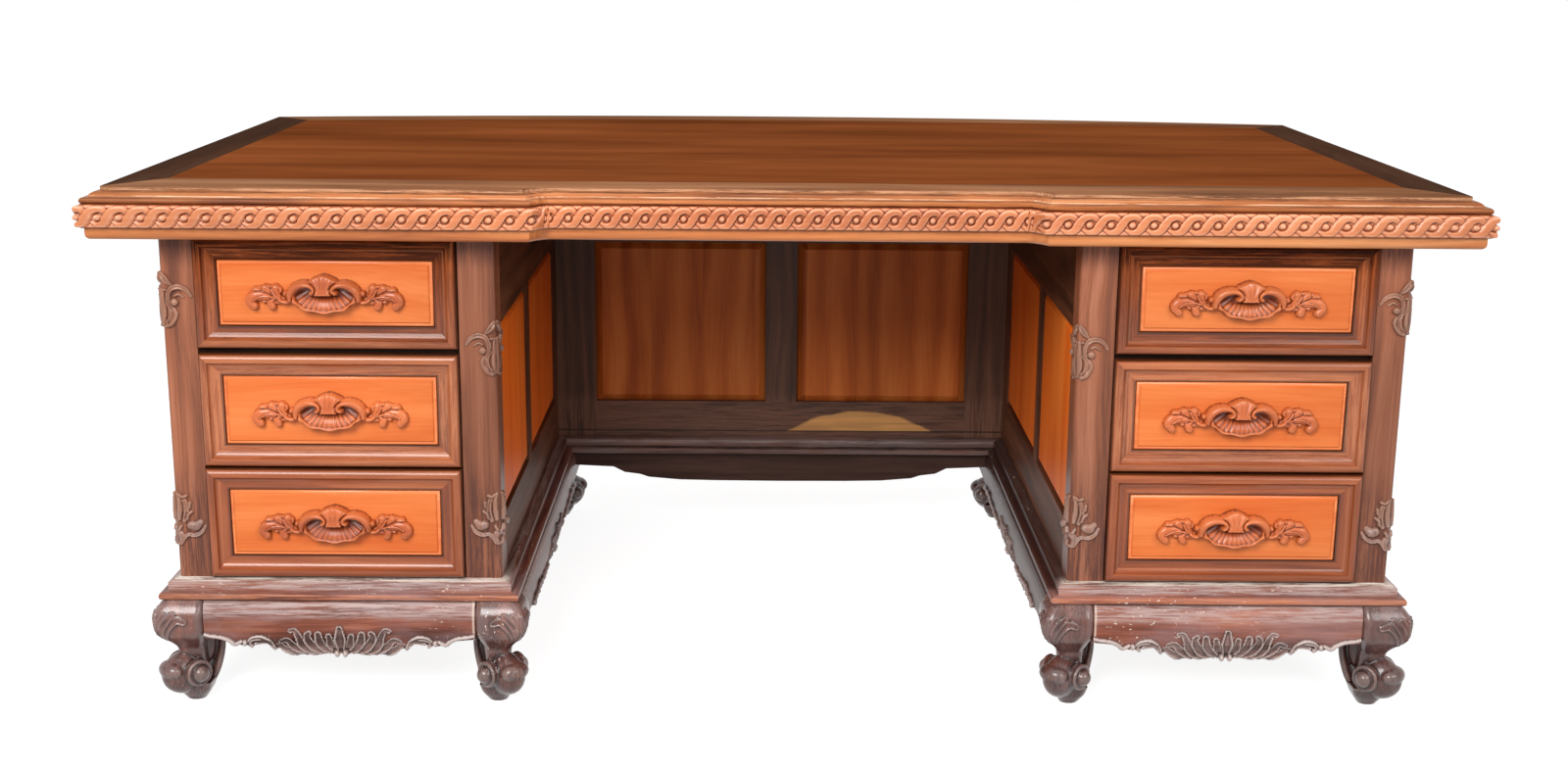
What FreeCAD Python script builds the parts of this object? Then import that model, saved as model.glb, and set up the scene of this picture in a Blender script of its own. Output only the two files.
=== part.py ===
import FreeCAD, Part
import Sketcher
import math
import os
import re
from FreeCAD import Vector

# A carved double pedestal writing desk. X runs along the desk, Y from the drawer side to the
# visitor's side, Z up. The origin lies on the floor under the middle of the top.

doc = FreeCAD.newDocument("WritingDesk")
sheet = doc.addObject("Spreadsheet::Sheet", "Sizes")

sizes = {
    # the desk as a whole
    "desk_height": 800,
    "body_width": 1844,
    "body_depth": 985,
    "kneehole_width": 862,
    "kneehole_depth": 847,
    # how far the top's upper edge stands out past the carcass
    "overhang_front": 32,
    "overhang_side": 66,
    "overhang_back": 22,
    # the outline of the top: a bowed back and a set back middle of the front
    "back_bow": 90,
    "recess_width": 706,
    "recess_depth": 28,
    "recess_cove_run": 31,
    # the border planks round the field
    "border_front": 95,
    "border_side": 70,
    "border_back": 75,
    # the mouldings of the top's edge, from the top down
    "edge_fillet_height": 6,
    "edge_cove_height": 8,
    "edge_torus_height": 9,
    "edge_cove_out": 14,
    "edge_torus_out": 24,
    "band_height": 35,
    "band_out": 33,
    "band_root_out": 23,
    "band_fillet": 3,
    "band_lap": 12,
    "under_height": 17,
    "under_out": 20,
    "under_flat": 9,
    "under_foot_out": 12,
    "under_lap": 32,
    # bearers that carry the top, and their screws
    "bearer_width": 80,
    "bearer_clearance": 2,
    "long_rail_width": 45,
    "screw_shank": 5,
    "screw_head": 10,
    "screw_head_height": 4,
    "screw_bite": 14,
    "screw_end_margin": 90,
    # posts
    "post_outer_width": 49,
    "post_inner_width": 55,
    "post_depth": 50,
    "post_round": 7,
    # frames and panels of the carcass
    "frame_thickness": 22,
    "frame_setback": 3,
    "upper_rail_height": 142,
    "lower_rail_height": 80,
    "front_panel_share": 0.4693,
    "side_muntin_width": 41,
    "rear_stile_width": 143,
    "tenon_length": 18,
    "tenon_thickness": 8,
    "tenon_shoulder": 12,
    "panel_thickness": 6,
    "panel_tongue": 7,
    "panel_bevel": 13,
    "panel_raise": 9,
    "panel_setback": 2,
    "modesty_stile_width": 75,
    "modesty_muntin_width": 60,
    "modesty_lower_rail": 70,
    # rails and runners of the drawer openings
    "blade_height": 18,
    "end_blade_height": 12,
    "blade_setback": 10.5,
    "blade_housing": 8,
    "runner_bearing": 15,
    # drawer fronts, one above the other
    "drawer_reveal": 2,
    "lower_gap": 3,
    "upper_gap": 8,
    "bottom_front_share": 0.3353,
    "middle_front_share": 0.3392,
    "front_side_gap": 1.5,
    "front_proud": 12,
    "front_thickness": 22,
    "front_frame_width": 33,
    "front_edge_round": 9,
    "front_crest_flat": 4,
    "front_bead_width": 6,
    "front_lip": 12,
    "rebate_depth": 7,
    "drawer_panel_raise": 8,
    "drawer_panel_bevel": 8,
    # drawer boxes
    "drawer_box_gap": 3,
    "drawer_head_room": 6,
    "slide_clearance": 0.4,
    "drawer_side": 12,
    "drawer_bottom": 6,
    "drawer_bottom_lift": 8,
    "drawer_groove": 5,
    "drawer_length": 600,
    # the carved pull on each drawer
    "pull_width_share": 0.742,
    "pull_height_share": 0.62,
    "pull_shell_share": 0.483,
    "pull_shell_depth": 25,
    "pull_leaf_depth": 9,
    "pull_recess_width_share": 0.684,
    "pull_recess_height_share": 0.4355,
    "pull_recess_drop_share": 0.065,
    "pull_recess_depth": 13,
    "pull_recess_front": 18,
    # base: waist moulding, aprons and legs
    "leg_height": 170,
    "waist_lower_height": 12,
    "waist_upper_height": 18,
    "waist_ledge_drop": 5,
    "waist_lower_out": 26,
    "waist_upper_out": 14,
    "waist_round": 5,
    "waist_lap": 30,
    "leg_inside": 40,
    "leg_top_out": 22,
    "knee_out": 36,
    "ankle_out": 11,
    "foot_out": 38,
    "foot_inside": 50,
    "sole_out": 18,
    "sole_inside": 30,
    "knee_height": 142,
    "ankle_height": 93,
    "foot_height": 42,
    "leg_round": 12,
    "apron_top_out": 15,
    "apron_belly_out": 29,
    "apron_foot_out": 13,
    "apron_thickness": 18,
    "apron_belly_height": 142,
    "apron_edge_height": 106,
    "apron_drop": 24,
    "link_apron_thickness": 16,
    "link_apron_setback": 3,
    "link_apron_drop": 62,
    "link_apron_rise": 32,
    # how far a cutting shape runs past what it cuts
    "overrun": 5,
}

for row, (name, amount) in enumerate(sizes.items(), start=1):
    sheet.set("A%d" % row, name)
    sheet.set("B%d" % row, str(amount))
    sheet.setAlias("B%d" % row, name)
doc.recompute()


def bound(text):
    # a text of plain names becomes an expression on the sheet's cells
    return re.sub(r"[a-z_]+", lambda word: "Sizes." + word.group(), str(text))


def size(text):
    # the value of such a text, in millimetres
    return float(sheet.evalExpression(bound(text)))


# Derived places, as texts on the sheet's names
half_body = "(body_width / 2)"
half_knee = "(kneehole_width / 2)"
half_top = "(body_width / 2 + overhang_side)"
front_y = "((overhang_front - body_depth - overhang_back - back_bow) / 2)"
back_y = f"({front_y} + body_depth)"
edge_front_y = f"({front_y} - overhang_front)"
edge_back_y = f"({back_y} + overhang_back)"
top_thickness = "(edge_fillet_height + edge_cove_height + edge_torus_height)"
top_z = f"(desk_height - {top_thickness})"
band_z = f"({top_z} - band_height)"
body_top = f"({band_z} - under_height)"
base_top = "(leg_height + waist_lower_height + waist_upper_height)"
modesty_y = f"({front_y} + kneehole_depth)"
opening_x = f"({half_knee} + post_inner_width)"
opening_width = f"({half_body} - post_outer_width - {opening_x})"
bow_radius = f"(({half_top} * {half_top} + back_bow * back_bow) / (2 * back_bow))"
bow_centre_y = f"({edge_back_y} + back_bow - {bow_radius})"

subparts = []


def keep(piece, label):
    # marks a finished piece as a sub-part with a file of its own
    piece.Label = label
    subparts.append(piece)
    return piece


def place(piece, x, y, z):
    for axis, text in (("x", x), ("y", y), ("z", z)):
        piece.setExpression("Placement.Base." + axis, bound(text))


def board(name, length, width, height, x, y, z):
    # a square board: its sizes along X, Y and Z, and its lowest corner
    piece = doc.addObject("Part::Box", name)
    piece.setExpression("Length", bound(length))
    piece.setExpression("Width", bound(width))
    piece.setExpression("Height", bound(height))
    place(piece, x, y, z)
    return piece


def group(name, pieces):
    piece = doc.addObject("Part::Compound", name)
    piece.Links = pieces
    return piece


def joined(name, pieces):
    piece = doc.addObject("Part::MultiFuse", name)
    piece.Shapes = pieces
    return piece


def cut(name, base, tool):
    piece = doc.addObject("Part::Cut", name)
    piece.Base = base
    piece.Tool = tool
    return piece


def mirrored(name, source):
    # the same piece on the other side of the desk
    piece = doc.addObject("Part::Mirroring", name)
    piece.Source = source
    piece.Normal = Vector(1, 0, 0)
    return piece


def shaped(name, shape):
    piece = doc.addObject("Part::Feature", name)
    piece.Shape = shape
    piece.Placement = FreeCAD.Placement()
    return piece


def both_sides(name, piece):
    # keeps a left-hand piece and its mirror image
    keep(piece, name.replace("SIDE", "left"))
    keep(mirrored(name.replace("SIDE", "right"), piece), name.replace("SIDE", "right"))


# Outlines and moulding runs

def arc_points(centre, radius, start, end, steps):
    # points of a round stretch, angles in degrees
    turn = [math.radians(start + (end - start) * i / steps) for i in range(steps + 1)]
    return [(centre[0] + radius * math.cos(t), centre[1] + radius * math.sin(t)) for t in turn]


def quarter(start, end, steps, hollow):
    # a quarter round from one point to another: full, or hollow where the wood is cut away
    (a, b), (c, d) = start, end
    points = []
    for i in range(steps + 1):
        t = math.pi / 2 * i / steps
        near, far = (1 - math.cos(t), math.sin(t)) if hollow else (math.sin(t), 1 - math.cos(t))
        points.append((a + (c - a) * near, b + (d - b) * far))
    return points


def unit(a, b):
    length = math.hypot(b[0] - a[0], b[1] - a[1])
    return ((b[0] - a[0]) / length, (b[1] - a[1]) / length)


def mitres(path, closed=False, first=None, last=None):
    # at each point, the step that carries the path outward by one; outward is to the right
    count = len(path)
    steps = []
    for i in range(count):
        before = unit(path[i - 1], path[i]) if closed or i > 0 else first
        after = unit(path[i], path[(i + 1) % count]) if closed or i < count - 1 else last
        n1 = (before[1], -before[0])
        n2 = (after[1], -after[0])
        share = 1 + n1[0] * n2[0] + n1[1] * n2[1]
        steps.append(((n1[0] + n2[0]) / share, (n1[1] + n2[1]) / share))
    return steps


def level(x, y, z):
    return Vector(x, y, z)


def run(path, steps, profile, lay=level):
    # a moulding of one profile, given as (outward, up), along a path with mitred corners
    rings = []
    for (x, y), (mx, my) in zip(path, steps):
        ring = [lay(x + mx * out, y + my * out, up) for out, up in profile]
        rings.append(Part.makePolygon(ring + ring[:1]))
    return Part.makeLoft(rings, True, True)


def ring_runs(path, profile, lay=level):
    # a closed ring of mitred lengths, one solid each
    steps = mitres(path, closed=True)
    pieces = []
    for i in range(len(path)):
        ends = (i, (i + 1) % len(path))
        pieces.append(run([path[k] for k in ends], [steps[k] for k in ends], profile, lay))
    return pieces


def slab(points, low, high):
    # an upright solid on a plan outline
    corners = [Vector(x, y, low) for x, y in points]
    return Part.Face(Part.makePolygon(corners + corners[:1])).extrude(Vector(0, 0, high - low))


# The outline of the top

now = {name: size(name) for name in sizes}
edge_x = size(half_top)
edge_front = size(edge_front_y)
edge_back = size(edge_back_y)
bow_r = size(bow_radius)
bow_c = size(bow_centre_y)
hollow_turn = 40
hollow_steps = 5
bow_reach = math.degrees(math.asin(edge_x / bow_r))


def recess_corner():
    # from the proud left part of the front into the set back middle, in a slight hollow curve
    chord = math.hypot(now["recess_cove_run"], now["recess_depth"])
    middle = math.atan2(now["recess_depth"], now["recess_cove_run"])
    turn = math.radians(hollow_turn)
    radius = chord / (2 * math.sin(turn / 2))
    start = middle + turn / 2
    corner_x = -now["recess_width"] / 2 - now["recess_cove_run"]
    points = []
    for i in range(hollow_steps + 1):
        heading = start - turn * i / hollow_steps
        x = corner_x + radius * (math.sin(start) - math.sin(heading))
        y = edge_front + radius * (math.cos(heading) - math.cos(start))
        points.append((x, y))
    return points


left_corner = recess_corner()
right_corner = [(-x, y) for x, y in reversed(left_corner)]
front_path = [(-edge_x, edge_front)] + left_corner + right_corner + [(edge_x, edge_front)]
side_path = [(edge_x, edge_front), (edge_x, edge_back)]
bow_start = (-math.cos(math.radians(bow_reach)), math.sin(math.radians(bow_reach)))


def bowed_run(profile):
    # the back length: turned about the centre of the bow, then mitred against the sides
    ring = [Vector(0, edge_back + now["back_bow"] + out, up) for out, up in profile]
    section = Part.Face(Part.makePolygon(ring + ring[:1]))
    centre, upright = Vector(0, bow_c, 0), Vector(0, 0, 1)
    section.rotate(centre, upright, -2 * bow_reach)
    turned = section.revolve(centre, upright, 4 * bow_reach)
    reach = now["back_bow"]
    mitre = mitres([side_path[1]], first=(0, 1), last=bow_start)[0]
    inner = (edge_x - mitre[0] * reach, edge_back - mitre[1] * reach)
    outer = (edge_x + mitre[0] * reach, edge_back + mitre[1] * reach)
    far = (outer[0], edge_back + 2 * now["back_bow"])
    right = [inner, outer, far]
    return turned.common(slab(right + [(-x, y) for x, y in reversed(right)], 0, 2 * now["desk_height"]))


def top_ring(profile):
    # a moulding round the top: five lengths at the front, one at each side and one behind
    steps = mitres(front_path, first=(0, -1), last=(0, 1))
    first = 1 + hollow_steps
    cuts = (0, 1, first, first + 1, first + len(right_corner), len(front_path) - 1)
    lengths = [run(front_path[a:b + 1], steps[a:b + 1], profile) for a, b in zip(cuts, cuts[1:])]
    right = run(side_path, mitres(side_path, first=(1, 0), last=bow_start), profile)
    left = right.mirror(Vector(0, 0, 0), Vector(1, 0, 0))
    return Part.makeCompound(lengths + [right, bowed_run(profile), left])


# Bearers under the top, and the screws that hold it down on them

bearer_y = f"({front_y} + recess_depth + under_lap - overhang_front + bearer_clearance)"
bearer_end = f"({edge_back_y} - under_lap - bearer_clearance)"
bearer_length = f"({bearer_end} - {bearer_y})"
bearer_height = f"({top_z} - {body_top})"
outer_bearer_x = f"({half_top} - under_lap - bearer_clearance - bearer_width)"
inner_bearer_x = f"({half_knee} + frame_setback)"
screw_rows = 3

screws = []
for side in (-1, 1):
    for lane, low_x in (("outer", outer_bearer_x), ("inner", inner_bearer_x)):
        x = f"{side} * ({low_x} + bearer_width / 2)"
        for spot in range(screw_rows):
            stretch = f"({bearer_length} - 2 * screw_end_margin) * {spot} / {screw_rows - 1}"
            y = f"{bearer_y} + screw_end_margin + {stretch}"
            stem = "screw_%s_%d_%s" % (lane, spot, "left" if side < 0 else "right")
            shank = doc.addObject("Part::Cylinder", stem + "_shank")
            shank.setExpression("Radius", bound("screw_shank / 2"))
            shank.setExpression("Height", bound(f"{bearer_height} + screw_bite"))
            place(shank, x, y, body_top)
            head = doc.addObject("Part::Cone", stem + "_head")
            head.setExpression("Radius1", bound("screw_head / 2"))
            head.setExpression("Radius2", bound("screw_shank / 2"))
            head.setExpression("Height", bound("screw_head_height"))
            place(head, x, y, body_top)
            screws.append(joined(stem, [shank, head]))
top_screws = keep(group("top_screws_group", screws), "top_screws")

bearers = []
for side in (-1, 1):
    for lane, low_x in (("outer", outer_bearer_x), ("inner", inner_bearer_x)):
        x = low_x if side > 0 else f"-({low_x} + bearer_width)"
        stem = "bearer_%s_%s" % (lane, "left" if side < 0 else "right")
        blank = board(stem + "_blank", "bearer_width", bearer_length, bearer_height, x, bearer_y, body_top)
        bearers.append(cut(stem, blank, top_screws))
rail_span = f"(2 * {inner_bearer_x})"
for stem, y in (("front", bearer_y), ("back", f"({bearer_end} - long_rail_width)")):
    piece = board(
        "long_rail_" + stem, rail_span, "long_rail_width", bearer_height, f"-{inner_bearer_x}", y, body_top)
    bearers.append(piece)
keep(group("top_bearers_group", bearers), "top_bearers")

# The field of the top: a flat board with a bowed back edge

field_half = f"({half_top} - border_side)"
field_front = f"({edge_front_y} + border_front)"
field_body = doc.addObject("PartDesign::Body", "field_body")
plan = [feature for feature in field_body.Origin.OriginFeatures if feature.Role == "XY_Plane"][0]
sketch = field_body.newObject("Sketcher::SketchObject", "field_outline")
sketch.AttachmentSupport = [(plan, "")]
sketch.MapMode = "FlatFace"
half_w = size(field_half)
low_y = size(field_front)
bow_inner = bow_r - now["border_back"]
rise = math.sqrt(bow_inner ** 2 - half_w ** 2)
lean = math.atan2(rise, half_w)
corners = [Vector(-half_w, low_y, 0), Vector(half_w, low_y, 0), Vector(half_w, bow_c + rise, 0)]
corners.append(Vector(-half_w, bow_c + rise, 0))
sketch.addGeometry(Part.LineSegment(corners[0], corners[1]))
sketch.addGeometry(Part.LineSegment(corners[1], corners[2]))
bow_circle = Part.Circle(Vector(0, bow_c, 0), Vector(0, 0, 1), bow_inner)
sketch.addGeometry(Part.ArcOfCircle(bow_circle, lean, math.pi - lean))
sketch.addGeometry(Part.LineSegment(corners[3], corners[0]))
for link in ((0, 2, 1, 1), (1, 2, 2, 1), (2, 2, 3, 1), (3, 2, 0, 1)):
    sketch.addConstraint(Sketcher.Constraint("Coincident", *link))
sketch.addConstraint(Sketcher.Constraint("Horizontal", 0))
sketch.addConstraint(Sketcher.Constraint("Vertical", 1))
sketch.addConstraint(Sketcher.Constraint("Vertical", 3))
sketch.addConstraint(Sketcher.Constraint("PointOnObject", 2, 3, -2))
driven = {
    "width": (Sketcher.Constraint("DistanceX", 0, 1, 0, 2, 2 * half_w), f"2 * {field_half}"),
    "right": (Sketcher.Constraint("DistanceX", -1, 1, 0, 2, half_w), field_half),
    "front": (Sketcher.Constraint("DistanceY", 0, 1, -1, 1, -low_y), f"-{field_front}"),
    "centre": (Sketcher.Constraint("DistanceY", 2, 3, -1, 1, -bow_c), f"-{bow_centre_y}"),
    "radius": (Sketcher.Constraint("Radius", 2, bow_inner), f"{bow_radius} - border_back"),
}
for name, (constraint, text) in driven.items():
    sketch.addConstraint(constraint)
    sketch.renameConstraint(sketch.ConstraintCount - 1, name)
    sketch.setExpression("Constraints." + name, bound(text))
doc.recompute()
field_pad = field_body.newObject("PartDesign::Pad", "field_pad")
field_pad.Profile = sketch
field_pad.setExpression("Length", bound(top_thickness))
place(field_body, 0, 0, top_z)
keep(cut("field_drilled", field_body, top_screws), "top_field")

# Border planks, mitred at the corners of the field

field_corner = (half_w, low_y)
field_back_corner = (half_w, bow_c + rise)


def bow(radius, half, low):
    # the bow of one radius from side to side, as an edge and its two ends
    end_y = bow_c + math.sqrt(radius ** 2 - half ** 2)
    right, left = Vector(half, end_y, low), Vector(-half, end_y, low)
    return Part.Arc(right, Vector(0, bow_c + radius, low), left).toShape(), right, left


def border_planks():
    low = size(top_z)
    high = now["desk_height"]
    left_front = (-field_corner[0], field_corner[1])
    front = slab(front_path + [field_corner, left_front], low, high)
    outer, outer_right, outer_left = bow(bow_r, edge_x, low)
    inner, inner_right, inner_left = bow(bow_inner, half_w, low)
    ends = [Part.makeLine(outer_left, inner_left), Part.makeLine(inner_right, outer_right)]
    back = Part.Face(Part.Wire([outer, ends[0], inner, ends[1]])).extrude(Vector(0, 0, high - low))
    right = slab([side_path[0], side_path[1], field_back_corner, field_corner], low, high)
    left = right.mirror(Vector(0, 0, 0), Vector(1, 0, 0))
    return Part.makeCompound([front, right, back, left])


keep(shaped("border_planks", border_planks()), "top_border")

# The moulded edge under the border, the band and the moulding below it

round_steps = 6


def edge_profile():
    low = size(top_z)
    top = now["desk_height"] - now["edge_fillet_height"]
    seat = low + now["edge_torus_height"]
    half = now["edge_torus_height"] / 2
    torus = arc_points((now["edge_torus_out"] - half, low + half), half, -90, 90, 2 * round_steps)
    cove = quarter((now["edge_cove_out"], seat), (0, top), round_steps, True)
    return [(0, low)] + torus + cove


def band_profile():
    low = size(band_z)
    high = size(top_z)
    root = now["band_root_out"]
    swell = now["band_out"] - root
    foot = low + now["band_fillet"]
    head = high - now["band_fillet"]
    points = [(-now["band_lap"], low), (root, low)]
    for i in range(2 * round_steps + 1):
        turn = math.pi * i / (2 * round_steps)
        points.append((root + swell * math.sin(turn), foot + (head - foot) * (1 - math.cos(turn)) / 2))
    return points + [(root, high), (-now["band_lap"], high)]


def under_profile():
    low = size(body_top)
    high = size(band_z)
    flat_foot = high - now["under_flat"]
    rounded = quarter((now["under_foot_out"], low), (now["under_out"], flat_foot), round_steps, False)
    return [(-now["under_lap"], low)] + rounded + [(now["under_out"], high), (-now["under_lap"], high)]


keep(shaped("edge_runs", top_ring(edge_profile())), "top_edge_moulding")
keep(shaped("band_runs", top_ring(band_profile())), "carved_band")
keep(shaped("under_runs", top_ring(under_profile())), "under_moulding")

# Rails with a tenon at each end, panels with a tongue all round

def rail_along_y(name, length, height, x, y, z):
    body = board(name + "_body", "frame_thickness", length, height, x, y, z)
    tenon = board(
        name + "_tenon", "tenon_thickness", f"{length} + 2 * tenon_length", f"{height} - 2 * tenon_shoulder",
        f"{x} + (frame_thickness - tenon_thickness) / 2", f"{y} - tenon_length", f"{z} + tenon_shoulder")
    return joined(name, [body, tenon])


def rail_along_x(name, length, height, x, y, z):
    body = board(name + "_body", length, "frame_thickness", height, x, y, z)
    tenon = board(
        name + "_tenon", f"{length} + 2 * tenon_length", "tenon_thickness", f"{height} - 2 * tenon_shoulder",
        f"{x} - tenon_length", f"{y} + (frame_thickness - tenon_thickness) / 2", f"{z} + tenon_shoulder")
    return joined(name, [body, tenon])


def upright_along_y(name, width, height, x, y, z):
    # a muntin or stile whose tenons run up and down
    body = board(name + "_body", "frame_thickness", width, height, x, y, z)
    tenon = board(
        name + "_tenon", "tenon_thickness", f"{width} - 2 * panel_tongue", f"{height} + 2 * tenon_length",
        f"{x} + (frame_thickness - tenon_thickness) / 2", f"{y} + panel_tongue", f"{z} - tenon_length")
    return joined(name, [body, tenon])


def upright_along_x(name, width, height, x, y, z):
    body = board(name + "_body", width, "frame_thickness", height, x, y, z)
    tenon = board(
        name + "_tenon", f"{width} - 2 * panel_tongue", "tenon_thickness", f"{height} + 2 * tenon_length",
        f"{x} + panel_tongue", f"{y} + (frame_thickness - tenon_thickness) / 2", f"{z} - tenon_length")
    return joined(name, [body, tenon])


def raised_panel(name, length, height, plate, tongue, lift, bevel, x, y, z, turn):
    # seen from the front: a plate with a tongue all round, and a raised field with sloping edges
    sheet_part = board(name + "_plate", f"{length} + 2 * {tongue}", plate, f"{height} + 2 * {tongue}",
                       f"-{tongue}", f"-{plate}", f"-{tongue}")
    field = doc.addObject("Part::Wedge", name + "_field")
    limits = {
        "Ymin": f"-{plate} - {lift}", "Ymax": f"-{plate}",
        "Xmin": bevel, "Xmax": f"{length} - {bevel}", "Zmin": bevel, "Zmax": f"{height} - {bevel}",
        "X2min": "0 * " + bevel, "X2max": length, "Z2min": "0 * " + bevel, "Z2max": height,
    }
    for side, text in limits.items():
        field.setExpression(side, bound(text))
    panel = joined(name, [sheet_part, field])
    panel.Placement = FreeCAD.Placement(Vector(0, 0, 0), FreeCAD.Rotation(Vector(0, 0, 1), turn))
    place(panel, x, y, z)
    return panel


def fitted(name, members, tools):
    # each member is cut by the tools that enter it: tenons, tongues or cross pieces
    tool = tools[0] if len(tools) == 1 else joined(name + "_tools", tools)
    return [cut("%s_%d" % (name, i), member, tool) for i, member in enumerate(members)]


panel_low = f"({base_top} + lower_rail_height)"
panel_height = f"({body_top} - upper_rail_height - {panel_low})"
frame_y = f"({front_y} + post_depth)"
frame_length = "(body_depth - 2 * post_depth)"
upper_rail_z = f"({body_top} - upper_rail_height)"
side_panels_length = f"({frame_length} - side_muntin_width - rear_stile_width)"
front_panel_length = f"({side_panels_length} * front_panel_share)"
rear_panel_length = f"({side_panels_length} - {front_panel_length})"
stile_y = f"({back_y} - post_depth - rear_stile_width)"
panel_sink = "(panel_setback + panel_raise + panel_thickness)"


frame_rail_levels = (
    ("upper", "upper_rail_height", upper_rail_z),
    ("lower", "lower_rail_height", base_top),
)


def side_frame(side, face_x, outward):
    # rails, muntin, rear stile and two raised panels; outward is -1 where the face looks to -X
    low_x = face_x if outward < 0 else f"({face_x} - frame_thickness)"
    rails = []
    for stem, height, z in frame_rail_levels:
        rails.append(rail_along_y(f"{side}_{stem}_rail", frame_length, height, low_x, frame_y, z))
    muntin_y = f"({frame_y} + {front_panel_length})"
    uprights = [
        upright_along_y(f"{side}_muntin", "side_muntin_width", panel_height, low_x, muntin_y, panel_low),
        upright_along_y(f"{side}_stile", "rear_stile_width", panel_height, low_x, stile_y, panel_low),
    ]
    plane = f"({face_x} - {outward} * {panel_sink})"
    turn = 90 if outward > 0 else -90
    panels = []
    rear_y = f"({muntin_y} + side_muntin_width)"
    for stem, y, length in (("front", frame_y, front_panel_length), ("rear", rear_y, rear_panel_length)):
        corner_y = y if outward > 0 else f"({y} + {length})"
        panels.append(raised_panel(
            f"{side}_{stem}_panel", length, panel_height, "panel_thickness", "panel_tongue", "panel_raise",
            "panel_bevel", plane, corner_y, panel_low, turn))
    fitted_rails = fitted(f"{side}_rails", rails, uprights + panels)
    fitted_uprights = fitted(f"{side}_uprights", uprights, panels)
    both_sides(f"side_frame_SIDE_{side}", group(f"{side}_frame_group", fitted_rails + fitted_uprights))
    both_sides(f"side_panels_SIDE_{side}", group(f"{side}_panels_group", panels))
    return joined(f"{side}_mortise_tools", rails + panels)


outer_tools = side_frame("outer", f"(-{half_body} + frame_setback)", -1)
inner_tools = side_frame("inner", f"(-{half_knee} - frame_setback)", 1)

# The visitor's side of each pedestal

back_low_x = f"(-{half_body} + post_outer_width)"
back_frame_y = f"({back_y} - frame_setback - frame_thickness)"
back_rails = []
for stem, height, z in frame_rail_levels:
    back_rails.append(rail_along_x(f"back_{stem}_rail", opening_width, height, back_low_x, back_frame_y, z))
back_panel = raised_panel(
    "back_panel", opening_width, panel_height, "panel_thickness", "panel_tongue", "panel_raise",
    "panel_bevel",
    f"{back_low_x} + {opening_width}", f"{back_y} - {panel_sink}", panel_low, 180)
both_sides("back_frame_SIDE", group("back_frame_group", fitted("back_rail", back_rails, [back_panel])))
both_sides("back_panel_SIDE", back_panel)
back_tools = joined("back_mortise_tools", back_rails + [back_panel])

# Blades between the drawers and runners under them

fronts_height = f"({body_top} - {base_top} - 2 * drawer_reveal - lower_gap - upper_gap)"
bottom_front_height = f"({fronts_height} * bottom_front_share)"
middle_front_height = f"({fronts_height} * middle_front_share)"
top_front_height = f"({fronts_height} - {bottom_front_height} - {middle_front_height})"
rows = {}
next_z = f"({base_top} + drawer_reveal)"
for row_name, height, gap in (("bottom", bottom_front_height, "lower_gap"),
                              ("middle", middle_front_height, "upper_gap"),
                              ("top", top_front_height, "drawer_reveal")):
    top_of_row = f"({next_z} + {height})"
    rows[row_name] = {"low": next_z, "height": height, "gap_middle": f"({top_of_row} + {gap} / 2)"}
    next_z = f"({top_of_row} + {gap})"

blade_y = f"({front_y} + blade_setback)"
blade_depth = "(post_depth - blade_setback)"
blade_span = f"({opening_width} + 2 * blade_housing)"
levels = {
    "bottom": (base_top, "end_blade_height"),
    "middle": (f"({rows['bottom']['gap_middle']} - blade_height / 2)", "blade_height"),
    "top": (f"({rows['middle']['gap_middle']} - blade_height / 2)", "blade_height"),
    "head": (f"({body_top} - end_blade_height)", "end_blade_height"),
}
blades = []
runners = []
left_x = f"(-{half_body} + post_outer_width)"
runner_y = f"({front_y} + post_depth)"
runner_length = "(body_depth - 2 * post_depth)"
outer_runner_x = f"(-{half_body} + frame_setback + frame_thickness)"
outer_runner_width = f"({left_x} + drawer_box_gap + runner_bearing - {outer_runner_x})"
inner_runner_x = f"({left_x} + {opening_width} - drawer_box_gap - runner_bearing)"
inner_runner_width = f"(-{half_knee} - frame_setback - frame_thickness - {inner_runner_x})"
for stem, (z, height) in levels.items():
    blades.append(
        board(f"blade_{stem}", blade_span, blade_depth, height, f"{left_x} - blade_housing", blade_y, z))
    if stem == "head":
        continue
    for lane, x, width in (("outer", outer_runner_x, outer_runner_width),
                           ("inner", inner_runner_x, inner_runner_width)):
        runners.append(board(f"runner_{stem}_{lane}", width, runner_length, height, x, runner_y, z))
both_sides("drawer_rails_SIDE", group("drawer_rails_group", blades + runners))
blade_tools = group("blade_tools", blades)

# Posts, rounded on the corners that show, with mortises for the rails

def post(name, width, x, y, round_edges, tools):
    blank = board(name + "_blank", width, "post_depth", f"{body_top} - {base_top}", x, y, base_top)
    doc.recompute()
    rounded = doc.addObject("Part::Fillet", name + "_rounded")
    rounded.Base = blank
    rounded.Edges = [(edge, now["post_round"], now["post_round"]) for edge in round_edges]
    doc.recompute()
    return cut(name, rounded, tools)


# upright edges of a square board, by the corner where they stand
low_low, low_high, high_low, high_high = 1, 3, 5, 7
inner_post_x = f"(-{half_knee} - post_inner_width)"
back_post_y = f"({back_y} - post_depth)"
front_posts = []
back_posts = []
for stem, width, x, side_tools, front_edges, back_edges in (
        ("outer", "post_outer_width", f"-{half_body}", outer_tools, (low_low,), (low_high,)),
        ("inner", "post_inner_width", inner_post_x, inner_tools, (high_low,), (high_high,))):
    front_tools = group(f"front_{stem}_post_tools", [side_tools, blade_tools])
    rear_tools = group(f"back_{stem}_post_tools", [side_tools, back_tools])
    front_posts.append(post(f"front_{stem}_post", width, x, front_y, front_edges, front_tools))
    back_posts.append(post(f"back_{stem}_post", width, x, back_post_y, back_edges, rear_tools))
both_sides("front_posts_SIDE", group("front_posts_group", front_posts))
both_sides("back_posts_SIDE", group("back_posts_group", back_posts))

# The modesty panel at the back of the kneehole

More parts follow.
